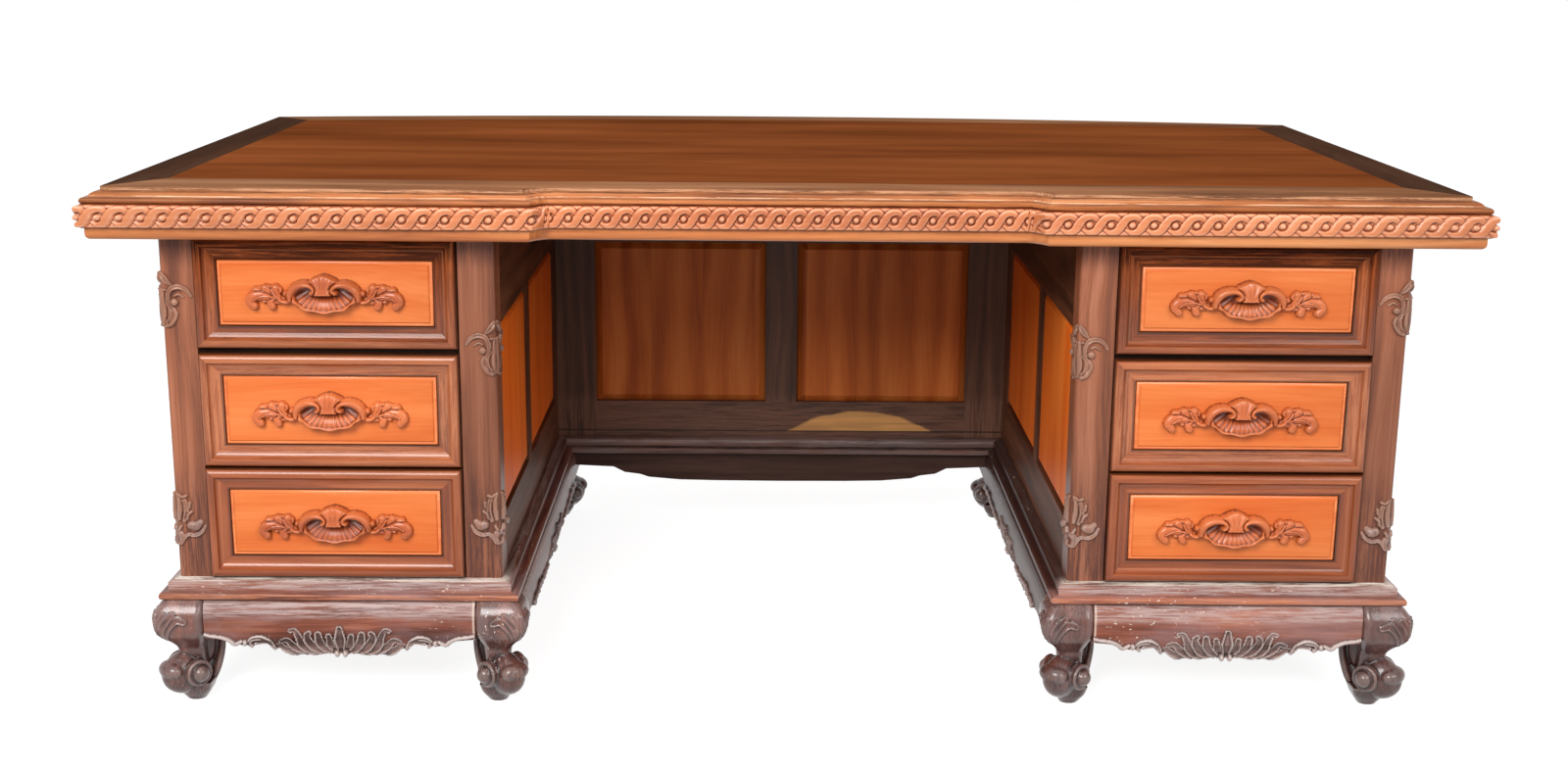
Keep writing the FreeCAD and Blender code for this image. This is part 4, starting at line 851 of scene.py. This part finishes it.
pullCarving = {
    "halfWide": 122, "halfHigh": 34, "step": 1.0, "plane": -537.5, "low": -0.9, "back": 2.4,
    "middle": 31,  # height over the foot of the CAD's pull
    "spray": [  # two flat layers first, then the lobes, the end curl, the lower leaves, the stem and a vein
        ([(-60, -10), (-70, -7), (-82, -1), (-94, 0), (-104, -2)],
         [5, 8, 10.5, 9, 6], [6.5, 8, 8.6, 8.6, 8.2], "flat"),
        ([(-68, 6), (-84, 7), (-98, 4)], [6.5, 7, 6.5], [8.6, 8.8, 8.6], "flat"),
        ([(-86, 0), (-95, 4.5), (-100, 5.4)], [4.5, 6, 6.2], [9, 10.2, 10.8], "round"),
        ([(-76, -2), (-83, 5), (-86, 8.4)], [4.5, 6.2, 6.6], [9, 10.2, 10.8], "round"),
        ([(-66, -5), (-71, 2), (-71, 9)], [4, 6, 6.6], [9, 10.4, 11], "round"),
        ([(-84, -7), (-88, -10)], [4.4, 4], [9, 9.6], "round"),
        ([(-74, -6), (-79, -11), (-77, -18.5)], [5, 6, 6], [8.6, 10, 10.8], "round"),
        ([(-82, -4), (-94, -2), (-104, -4), (-108.5, -11), (-103.5, -18)],
         [5.5, 7.5, 8.2, 7.6, 6.4], [9.6, 10.4, 11, 11, 11.4], "round"),
        ([(-47, -9), (-58, -11.5), (-67, -7), (-73, 0), (-77, 7)],
         [3, 3.4, 3.2, 2.4, 1.6], [11, 12, 12, 11.8, 11.6], "round"),
        ([(-68, -7), (-80, -3.5), (-94, -4), (-104, -10)],
         [1.2, 1.6, 1.6, 1.2], [10.8, 11.2, 11.8, 12.2], "round"),
    ],
    "bead": ([(-56, 1.5)], [4.4], [13], "round"),
    "lip": (50, 26.5, 0.045, 16.5),  # half width, reach down, scallops and height of the rim
    "hollow": (43.5, 14.0, 22.5),  # half width, reach up and down
    "fan": ([0, 0.35, 0.6, 0.75, 0.95, 1.25], [31.5, 31.2, 30.6, 30, 24, 12]),  # angle off upright, reach
    "scroll": (
        [(-50, -8), (-49, 1), (-44.5, 8.5), (-37, 13.5), (-29, 15.5), (-21, 15), (-15, 11.5), (-13.5, 6),
         (-17.5, 3)],
        [4.4, 6.0, 6.6, 6.6, 6.2, 5.6, 4.6, 4.0, 3.6], [14, 17, 19, 20, 21, 22, 22.5, 22.5, 21.5], "round",
    ),
}


def pullHeights(u, v, values):
    height = carve(u, v, mirrored(values["spray"]), values["low"], cut=0.7, trench=1.0)
    height = carve(u, v, mirrored([values["bead"]]), height, cut=0.8)
    # the bowl's rim, in soft scallops
    wide, below, scallops, tall = values["lip"]
    turn = np.arctan2(u / wide, -(v + 1) / below)
    oval = np.hypot(u / wide, (v + 1) / below) / (1 + scallops * np.cos(turn * 10))
    grown = np.clip((1 - oval) * 26 + 0.5, 0, 1) * np.clip((5 - v) / 3, 0, 1)
    height = over(height, tall * (0.6 + 0.4 * dome((oval - 0.91) / 0.12)), grown)
    # the finger hollow: deep under the fan, with a fluted floor that rises to the rim
    wide, above, below = values["hollow"]
    oval = np.hypot(u / wide, (v + 1) / np.where(v > -1, above, below))
    rise = np.clip((6 - v) / 28, 0, 1)
    flutes = np.cos(np.arctan2(v - 20, u) * 36) * 0.75 * np.clip(np.abs(u) / 16, 0.3, 1)
    floor = 1.5 + 12.5 * np.sin(rise * math.pi / 2) ** 1.5 + flutes * np.clip(rise * 2.5, 0, 1)
    inside = np.clip((1 - oval) * 26 + 0.5, 0, 1)
    height = over(height, floor, inside)
    # the fan over it
    angle = np.arctan2(u, v + 2)
    reach = np.hypot(u, v + 2)
    edge = np.interp(np.abs(angle), *values["fan"]) + 0.4 * np.cos(angle * 9)
    grown = np.clip((edge - reach) / 0.9 + 0.5, 0, 1) * np.clip((v + 1) / 1.4, 0, 1)
    fan = 17.5 + 6.5 * dome(reach / 33) + 0.9 * np.cos(angle * 14) * np.clip(reach / 18, 0, 1)
    height = over(height, fan, grown)
    covered = carve(u, v, mirrored([values["scroll"]]), height, cut=0.6, trench=0.9)
    # painted shade inside the hollow, deepest under the fan, where neither the fan nor a scroll covers it
    paintedShade = inside * np.clip(1.3 - rise * 2.0, 0.3, 1) * (1 - grown) * (np.abs(covered - height) < 2.0)
    return covered, paintedShade


def makePulls(values):
    u, v = gridOf(values["halfWide"], -values["halfHigh"], values["halfHigh"], values["step"])
    relief, paintedShade = pullHeights(u, v, values)
    for side in sides:
        for row in rows:
            low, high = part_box(f"drawer_pull_{side}_{row}")
            middle = ((low + high) / 2).x
            plane = np.full_like(u, values["plane"] * mm)
            flat = np.stack([u * mm + middle, plane, (v + values["middle"]) * mm + low.z], -1)
            ways = np.broadcast_to(np.array((0.0, -1.0, 0.0)), flat.shape)
            blocks = [(flat, ways, relief, paintedShade, values["back"], -0.7)]
            pull = reliefMesh(f"carvedPull_{side}_{row}", blocks, materials["pullWood"])
            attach(pull, f"drawer_{side}_{row}")
            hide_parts(f"drawer_pull_{side}_{row}")


makePulls(pullCarving)
print("pulls done")

# A round bead in the panel's own wood, between each drawer panel and its frame

panelBead = {"inset": 37.4, "plane": -533.0, "thick": 2.8, "facets": 14}


def makeBead(name, low, high, values):
    inset, facets = values["inset"] * mm, values["facets"]
    left, right, foot, head = low.x + inset, high.x - inset, low.z + inset, high.z - inset
    points = []
    corners = ((left, foot, -1, -1), (right, foot, 1, -1), (right, head, 1, 1), (left, head, -1, 1))
    for x, z, outX, outZ in corners:
        for roll in np.linspace(0, 2 * math.pi, facets, endpoint=False):
            off = values["thick"] * math.cos(roll) * mm
            y = (values["plane"] + values["thick"] * math.sin(roll)) * mm
            points.append((x + outX * off, y, z + outZ * off))
    return makeMesh(name, points, tubeFaces(4, facets), materials["beadWood"])


for side in sides:
    for row in rows:
        low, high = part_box(f"drawer_frame_{side}_{row}")
        bead = makeBead(f"panelBead_{side}_{row}", low, high, panelBead)
        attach(bead, f"drawer_{side}_{row}")
print("beads done")

# Ornaments on the corners of the front posts, the same on both faces of each corner

postCarving = {
    "reach": 48, "halfHigh": 46, "step": 1.0, "round": 7.0, "low": -0.8,
    "heights": (  # of the ornaments' middles, on the outer and on the inner posts
        {"upper": 629.5, "lower": 295.5},
        {"upper": 559.5, "lower": 298.5},
    ),
    "upper": [
        ([(-2, -38), (-3, -20), (-2, 0), (-2, 14)], [2.5, 4, 4, 2.5], [4, 5, 5, 4], "round"),
        ([(-8, -6), (-13, -16), (-12, -27), (-7, -36)], [3, 3.6, 3.6, 3], [4, 5, 5, 5], "leaf"),
        ([(-17, -14), (-20, -21), (-18, -29), (-12, -37), (-6, -40)],
         [2.6, 3.4, 3.4, 3.6, 3], [4, 5, 5, 6, 5], "round"),
        ([(-43, 5), (-37, 14), (-26, 19), (-15, 16), (-10, 7), (-10, -3), (-14, -12)],
         [2.4, 3.4, 3.8, 3.8, 3.4, 3.0, 2.2], [3, 5.5, 7, 7.5, 7, 6, 4], "strap"),
        ([(-32, 3), (-25, 7.5), (-19, 5)], [1.6, 2.0, 1.6], [3, 4, 4], "round"),
        ([(-19, -4)], [5.6], [8], "round"),
        ([(-14, 22), (-9, 27), (-5, 33), (-2, 39)], [2.4, 4.6, 4.6, 2.4], [4, 6, 6.5, 5], "leaf"),
        ([(-6, 14)], [2.4], [6], "round"),
    ],
    "lower": [
        ([(-4, 36), (-7, 26), (-7, 12), (-5, -4)], [2.2, 3.6, 4, 3], [4, 5.5, 6, 5], "round"),
        ([(-13, 28), (-16, 18), (-16, 6), (-12, -6)], [3.4, 4.6, 4.6, 3.4], [4.5, 5.5, 5.5, 5], "leaf"),
        ([(-17, 33), (-11, 31), (-7, 34)], [2.6, 2.8, 2.4], [5, 5, 5], "round"),
        ([(-22, 22), (-21, 15)], [2.6, 2.6], [5, 5], "round"),
        ([(-24, 8), (-19, 4), (-17, -3)], [2.4, 2.8, 2.4], [5, 6, 5], "round"),
        ([(-3, -24), (-8, -32), (-5, -40)], [5, 5, 3], [4, 4.5, 4.5], "round"),
        ([(-43, -15), (-37, -24), (-27, -29), (-17, -28), (-11, -33), (-6, -41), (-1, -42)],
         [2.2, 3.0, 3.2, 2.8, 2.8, 2.8, 2.2], [3, 5.5, 6.5, 6, 6.5, 7, 6], "strap"),
        ([(-36, -9), (-29, -14), (-23, -13)], [4.6, 7.6, 6.6], [4, 8.5, 8.5], "round"),
        ([(-7, -15), (-4, -21)], [2.4, 2.4], [5.5, 5.5], "round"),
    ],
}


def cornerGrid(u, z, cornerX, outX, bend):
    # points and directions round a post's rounded front corner; u is nought on its diagonal
    quarter = bend * math.pi / 4
    bent = np.clip(u, -quarter, quarter)
    angle = bent / bend + math.pi / 4
    x = cornerX + outX * (bend * np.sin(angle) - bend + np.minimum(u - bent, 0))
    y = pedestal["front"] - (bend * np.cos(angle) - bend - np.maximum(u - bent, 0))
    base = np.stack([x, y, z], -1) * mm
    ways = np.stack([outX * np.sin(angle), -np.cos(angle), np.zeros_like(u)], -1)
    if outX < 0:  # keep the faces turned outward on every corner
        return base[::-1], ways[::-1]
    return base, ways


def makeOrnaments(values):
    u, v = gridOf(values["reach"], -values["halfHigh"], values["halfHigh"], values["step"])
    reliefs = {level: carve(u, v, mirrored(values[level]), values["low"]) for level in ("upper", "lower")}
    for side, sign in sides.items():
        blocks = []
        for (cornerX, outX), heights in zip(facesX(sign), values["heights"]):
            for level, height in heights.items():
                base, ways = cornerGrid(u, v + height, cornerX, outX, values["round"])
                blocks.append((base, ways, reliefs[level], 0, 1.6, -0.6))
        ornaments = reliefMesh(f"postOrnaments_{side}", blocks, materials["postCarvingWood"])
        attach(ornaments, "desk")


makeOrnaments(postCarving)
print("post ornaments done")

# Carving on the aprons: a lotus with leaves and scrolls along the lower edge

# the bellied face: three heights, then how far it stands out at each
apronBelly = {"bottom": 82, "widest": 142, "top": 170, "foot": 13, "out": 29, "neck": 15}
apronCarving = {
    "step": 1.25, "low": -0.9, "rise": 24.0, "tall": 58, "period": 47.0, "waves": 5,
    "edge": [
        (0.0, 0.0), (0.34, 0.05), (0.42, 0.42), (0.50, 0.52), (0.56, 0.90),
        (0.66, 0.72), (0.73, 0.66), (0.81, 0.98), (0.92, 1.1), (1.0, 1.15),
    ],
    "lotus": [
        ([(-42, 2), (-62, 4), (-80, 9), (-92, 17), (-99, 14)],
         [3, 5.5, 6.5, 5.5, 3.5], [4, 6, 7, 6, 4], "spoon"),
        ([(-34, 5), (-54, 8), (-70, 16), (-80, 26), (-90, 24)],
         [3, 5.5, 6.5, 5.5, 3.5], [5, 7, 8, 7, 5], "spoon"),
        ([(-26, 6), (-46, 9), (-58, 19), (-62, 31), (-68, 42), (-75, 42)],
         [3.4, 5.6, 6.4, 6.4, 5, 3.4], [6, 8, 9, 9, 8, 6], "spoon"),
        ([(-18, 6), (-33, 10), (-44, 20), (-50, 33), (-47, 38)],
         [3.6, 6, 7.2, 6.6, 4.4], [7, 8, 9, 9, 8], "spoon"),
        ([(-12, 7), (-24, 13), (-31, 25), (-33, 36)], [3.6, 5.8, 7.2, 5.6], [7, 8, 9, 8], "spoon"),
        ([(-7, 8), (-14, 18), (-17, 33)], [3.6, 6.2, 5.0], [7, 9, 8], "spoon"),
        ([(-6, 6)], [4.6], [10], "round"),
    ],
    "petal": ([(0, 10), (0, 26), (0, 46)], [4.5, 9.5, 5.0], [9, 11, 10], "spoon"),
    "wave": [
        ([(-100, 12), (-108, 24), (-120, 31), (-133, 29), (-139, 22), (-134, 17)],
         [3, 4.4, 5, 4.4, 3.6, 3], [4, 6, 7, 7, 6, 6], "leaf"),
        ([(-104, 22), (-116, 24), (-128, 21)], [2.6, 4, 3], [4, 5, 4], "leaf"),
        ([(-145, 22)], [5], [7], "round"),
    ],
    "strap": (
        [(-150, 24), (-160, 20), (-168, 26), (-180, 31), (-196, 33), (-208, 36)],
        [3, 3.6, 3.4, 3.2, 3, 3], [5, 6, 6, 5.5, 5, 4], "round",
    ),
}


def apronOut(z, belly=apronBelly):
    # how far the bellied face stands out from the carcass at a height
    widest, foot, out, neck = (belly[k] for k in ("widest", "foot", "out", "neck"))
    below = foot + (out - foot) * dome((widest - z) / (widest - belly["bottom"]))
    above = neck + (out - neck) * dome((z - widest) / (belly["top"] - widest))
    return np.where(z < widest, below, above)


def edgeAt(share, values):
    # how high the shaped lower edge is, by the share of the way from the middle to a leg
    return np.interp(share, *zip(*values["edge"])) * values["rise"]


def apronBlock(middle, outward, half, strokes, values):
    u, v = gridOf(half, 0, values["tall"], values["step"])
    bottom = apronBelly["bottom"]
    z = bottom + v
    slope = apronOut(z + 0.5) - apronOut(np.maximum(z - 0.5, bottom))
    slope = slope / (0.5 + np.minimum(0.5, v) + 1e-6)
    level = 1 / np.hypot(1, slope)
    heights = carve(u, v, strokes, values["low"])
    bare = (v < edgeAt(np.abs(u) / half, values) - 1.6) & (heights <= 1)  # nothing under the shaped edge
    heights = np.where(bare, np.minimum(heights, -3), heights)
    outX, outY = outward
    out = apronOut(z)
    base = np.stack([middle[0] - outY * u + outX * out, middle[1] + outX * u + outY * out, z], -1)
    ways = np.stack([outX * level, outY * level, -slope * level], -1)
    return base * mm, ways, heights, 0, 3.0, -0.6


def endStrokes(values):
    return mirrored(values["lotus"] + values["wave"] + [values["strap"]]) + [values["petal"]]


def sideStrokes(values, half, endHalf):
    # the long sides: the lotus in the middle, then one wave after another to near the legs
    strokes = list(values["lotus"])
    for shift in np.arange(values["waves"]) * values["period"]:
        for path, *rest in values["wave"]:
            lift = [edgeAt((shift - a) / half, values) - edgeAt(-a / endHalf, values) for a, b in path]
            strokes.append(([(a - shift, b + up) for (a, b), up in zip(path, lift)], *rest))
    return mirrored(strokes) + [values["petal"]]


def makeAprons(values):
    endHalf, sideHalf = halfX - pedestal["legWide"], halfY - pedestal["legWide"]
    onEnds, onSides = endStrokes(values), sideStrokes(values, sideHalf, endHalf)
    for side, sign in sides.items():
        blocks = [apronBlock((sign * middleX, y), (0, out), endHalf, onEnds, values) for y, out in facesY]
        blocks += [apronBlock((x, middleY), (out, 0), sideHalf, onSides, values) for x, out in facesX(sign)]
        carvings = reliefMesh(f"apronCarvings_{side}", blocks, materials["apronCarvingWood"])
        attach(carvings, "desk")


makeAprons(apronCarving)
print("apron carvings done")

# Legs: a bellied knee with a leaf on its corner, an ankle, a scrolled foot and the strap behind it.
# The first two axes run outward from the carcass corner, the third up from the floor.

legCarving = {
    # height, then where the outer and the inner face are
    "knee": [
        (170, 22, -40), (160, 30, -40), (150, 35, -40), (140, 36, -40), (128, 35.5, -40), (118, 33, -39),
        (109, 28, -36), (101, 21, -34), (94, 15, -32), (88, 11, -30), (78, 9, -30), (60, 4, -30),
    ],
    "sole": [(0, 2, -26), (6, 5, -30), (16, 11, -36), (30, 16, -40)],
    "top": 170, "leafFrom": 103, "voxel": 1.5,
    # the strap's line: along the corner's diagonal and up
    "strap": [(-36, 122), (-50, 112), (-57, 100), (-59, 82), (-56, 62), (-48, 40), (-36, 22), (-24, 8)],
    "strapWide": 14, "strapThick": 6,
    # lobes of the foot: middle along the diagonal, height, then the three radii
    "lobes": [(0, 46, 39, 25, 34), (24, 55, 17, 24, 15), (-36, 84, 20, 9, 34)],
    # at both sides of the foot: middle along the diagonal, height, way across, radius and thickness
    "boss": (-6, 50, 33, 13.5, 13.5), "disc": (-6, 50, 24, 20.5, 9.0), "ring": (-6, 50, 31, 17.8, 3.2),
    "leaf": [
        ([(-6, 103), (-14, 115), (-24, 130), (-36, 141), (-48, 138)],
         [2.4, 3.6, 5, 6, 4.4], [2.5, 4, 5, 5.5, 4.5], "spoon"),
        ([(-5, 106), (-11, 121), (-19, 136), (-29, 149)], [2.4, 3.6, 5.2, 5], [2.5, 4, 5.5, 5], "spoon"),
        ([(-2, 108), (-5, 125), (-10, 139), (-16, 149)], [2.4, 3.6, 5, 4.6], [2.5, 4, 5.5, 5], "spoon"),
        ([(0, 104), (0, 124), (0, 147)], [2.4, 4.2, 4.4], [3, 4.5, 4.5], "spoon"),
    ],
}


def squareRing(out, deep, z, bend=12, steps=5):
    # a rounded square in plan from deep to out on both axes
    ring = []
    bend = min(bend, (out - deep) / 2 - 1)
    far, near = out - bend, deep + bend
    for x, y, first in ((far, far, 0), (near, far, 90), (near, near, 180), (far, near, 270)):
        for i in range(steps + 1):
            angle = math.radians(first + 90 * i / steps)
            ring.append((x + bend * math.cos(angle), y + bend * math.sin(angle), z))
    return ring


def loftMesh(rings):
    points = [p for ring in rings for p in ring]
    count = len(rings[0])
    faces = []
    for start in range(0, len(points) - count, count):
        for i in range(count):
            j = (i + 1) % count
            faces.append((start + i, start + j, start + count + j, start + count + i))
    faces.append(tuple(range(count))[::-1])
    faces.append(tuple(range(len(points) - count, len(points))))
    return points, faces


def placed(centre, local, axes):
    return tuple(centre[n] + sum(local[m] * axes[m][n] for m in range(3)) for n in range(3))


def ballMesh(centre, radii, axes, steps=24):
    # an ellipsoid with its radii along the given axes
    rings = []
    for k in range(1, steps):
        up = math.pi * k / steps
        wide, z = math.sin(up), -radii[2] * math.cos(up)
        turns = [math.pi * i / steps for i in range(2 * steps)]
        local = [(radii[0] * wide * math.cos(turn), radii[1] * wide * math.sin(turn), z) for turn in turns]
        rings.append([placed(centre, spot, axes) for spot in local])
    return loftMesh(rings)


def ringMesh(centre, reach, thick, axes, steps=32, facets=12):
    # a ring whose axle is the last of the axes
    points = []
    for turn in np.linspace(0, 2 * math.pi, steps, endpoint=False):
        for roll in np.linspace(0, 2 * math.pi, facets, endpoint=False):
            far = reach + thick * math.cos(roll)
            local = (far * math.cos(turn), far * math.sin(turn), thick * math.sin(roll))
            points.append(placed(centre, local, axes))
    return points, tubeFaces(steps, facets)


def legParts(values):
    root = math.sqrt(0.5)
    out, across, up = (root, root, 0), (root, -root, 0), (0, 0, 1)

    def spot(along, aside, z):
        return placed((0, 0, 0), (along, aside, z), (out, across, up))

    def strapSide(turn):
        return math.copysign(abs(turn) ** 0.6, turn)

    meshes = []
    for table in (values["knee"], values["sole"]):
        outer = smoothLine([(z, far) for z, far, near in table], 3)
        inner = smoothLine([(z, near) for z, far, near in table], 3)
        rings = [squareRing(far, near, z) for (z, far), (_, near) in zip(outer, inner)]
        rings.sort(key=lambda ring: ring[0][2])
        meshes.append(loftMesh(rings))
    for along, z, deep, wide, tall in values["lobes"]:
        meshes.append(ballMesh(spot(along, 0, z), (deep, wide, tall), (out, across, up)))
    for way in (-1, 1):
        for key in ("boss", "disc"):
            along, z, far, wide, thick = values[key]
            meshes.append(ballMesh(spot(along, way * far, z), (wide, thick, wide), (out, across, up)))
        along, z, far, wide, thick = values["ring"]
        meshes.append(ringMesh(spot(along, way * far, z), wide, thick, (out, up, across)))
    line = smoothLine(values["strap"], 6)
    rings = []
    for i, (along, z) in enumerate(line):
        course = line[min(i + 1, len(line) - 1)] - line[max(i - 1, 0)]
        course = course / np.linalg.norm(course)
        ring = []
        for turn in np.linspace(0, 2 * math.pi, 20, endpoint=False):
            aside = values["strapWide"] * strapSide(math.cos(turn))
            off = values["strapThick"] * strapSide(math.sin(turn))
            ring.append(spot(along - course[1] * off, aside, z + course[0] * off))
        rings.append(ring)
    meshes.append(loftMesh(rings))
    return meshes


def solidFrom(meshes, voxel, rounds):
    # one skin over several solids: remeshed, then eased
    points, faces = [], []
    for somePoints, someFaces in meshes:
        start = len(points)
        points += somePoints
        faces += [tuple(i + start for i in face) for face in someFaces]
    mesh = bpy.data.meshes.new("solidDraft")
    mesh.from_pydata(points, [], faces)
    draft = newObject("solidDraft", mesh)
    remesh = draft.modifiers.new("skin", "REMESH")
    remesh.mode = "VOXEL"
    remesh.voxel_size = voxel
    ease = draft.modifiers.new("ease", "SMOOTH")
    ease.iterations = rounds
    ease.factor = 0.5
    seen = draft.evaluated_get(bpy.context.evaluated_depsgraph_get())
    skin = seen.to_mesh()
    spots = np.zeros((len(skin.vertices), 3))
    skin.vertices.foreach_get("co", spots.ravel())
    normals = np.zeros((len(skin.vertices), 3))
    skin.vertices.foreach_get("normal", normals.ravel())
    ends = np.zeros((len(skin.edges), 2), int)
    skin.edges.foreach_get("vertices", ends.ravel())
    polygons = [tuple(p.vertices) for p in skin.polygons]
    seen.to_mesh_clear()
    bpy.data.objects.remove(draft)
    return spots, normals, ends, polygons


def ridgeWearAndShade(points, normals, ends, rounds=10, depth=1.5):
    # over a half on ridges, under a half in hollows: pale wear and painted highlights on the ridges, painted
    # shade in the hollows
    count = np.bincount(ends.ravel(), minlength=len(points))[:, None]
    smooth = points
    for _ in range(rounds):
        total = np.zeros_like(points)
        for here, there in (ends.T, ends.T[::-1]):
            for k in range(3):
                total[:, k] += np.bincount(here, smooth[there, k], len(points))
        smooth = total / count
    proud = ((points - smooth) * normals).sum(1)
    return np.clip(0.5 + proud / depth, 0, 1)


def makeLegs(values):
    points, normals, ends, polygons = solidFrom(legParts(values), values["voxel"], 4)
    x, y, z = points.T
    relief = carve((x - y)[:, None], z[:, None], mirrored(values["leaf"]), 0.0, 1.2, 1.6)[:, 0]
    facing = (normals[:, 0] + normals[:, 1]) * math.sqrt(0.5)
    onKnee = np.clip((z - values["leafFrom"]) / 3, 0, 1) * np.clip((facing - 0.1) / 0.2, 0, 1)
    onKnee = onKnee * np.clip((x + y) / 6, 0, 1)
    points = points + normals * (relief * onKnee)[:, None]
    points[:, 2] = np.clip(points[:, 2], 0, values["top"])
    shade = ridgeWearAndShade(points, normals, ends)
    x, y, z = points.T
    for side, sign in sides.items():
        allPoints, allFaces = [], []
        for cornerX, outX in facesX(sign):
            for cornerY, outY in facesY:
                start = len(allPoints)
                allPoints += (np.stack([cornerX + outX * x, cornerY + outY * y, z], 1) * mm).tolist()
                step = 1 if outX * outY > 0 else -1
                allFaces += [tuple(i + start for i in polygon[::step]) for polygon in polygons]
        legs = makeMesh(f"carvedLegs_{side}", allPoints, allFaces, materials["legWood"], np.tile(shade, 4))
        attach(legs, "desk")
        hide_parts(f"legs_{side}")


makeLegs(legCarving)
print("legs done")

# Stage: a pale floor, a pale room and soft lamps

room = {"floor": 0.42, "shine": 0.88, "walls": 0.34, "reach": 14.0}
lamps = {
    "keySoftbox": {"place": (-1.6, -4.2, 3.0), "aim": (0, 0, 0.5), "size": 2.0, "power": 210},
    "fillSoftbox": {"place": (2.6, -3.4, 2.4), "aim": (0, 0, 0.4), "size": 2.0, "power": 70},
    "topSoftbox": {"place": (0, -0.4, 3.6), "aim": (0, 0, 0.8), "size": 2.6, "power": 40},
}


def placeLamp(name, values):
    data = bpy.data.lights.new(name, "AREA")
    data.size = values["size"]
    data.energy = values["power"]
    place = Vector(values["place"])
    away = (place - Vector(values["aim"])).to_track_quat("Z", "Y").to_matrix().to_4x4()
    newObject(name, data).matrix_world = Matrix.Translation(place) @ away


def makeFloor(values):
    reach = values["reach"]
    mesh = bpy.data.meshes.new("floor")
    corners = [(-reach, -reach, 0), (reach, -reach, 0), (reach, reach, 0), (-reach, reach, 0)]
    mesh.from_pydata(corners, [], [(0, 1, 2, 3)])
    floor = newObject("floor", mesh)
    material, tree, shader = newMaterial("paleFloor")
    tree.nodes.remove(shader)
    matt = fill(addNode(tree, "BsdfDiffuse"), {"Color": (values["floor"],) * 3 + (1,)})
    path = addNode(tree, "LightPath").outputs
    seen = calc("MAXIMUM", path["Is Camera Ray"], path["Is Glossy Ray"])
    glow = fill(addNode(tree, "Emission"), {"Strength": times(seen, values["shine"])})
    both = fill(addNode(tree, "AddShader"), {0: matt.outputs[0], 1: glow.outputs[0]})
    fill(tree.nodes["Material Output"], {"Surface": both.outputs[0]})
    mesh.materials.append(material)


def makeWorld(values):
    # white where the camera, a gloss or glass sees it, and plain grey light elsewhere
    world = bpy.data.worlds.new("paleRoom")
    bpy.context.scene.world = world
    world.use_nodes = True
    path = addNode(world.node_tree, "LightPath").outputs
    seen = calc("MAXIMUM", path["Is Glossy Ray"], path["Is Transmission Ray"])
    seen = calc("MAXIMUM", path["Is Camera Ray"], seen)
    grey = (values["walls"],) * 3 + (1,)
    fill(world.node_tree.nodes["Background"], {"Color": blendColours(seen, grey, (1, 1, 1, 1))})


bpy.context.scene.view_settings.view_transform = "Standard"
placeCamera(camera)
makeFloor(room)
makeWorld(room)
for lampName, lamp in lamps.items():
    placeLamp(lampName, lamp)
print("stage done")
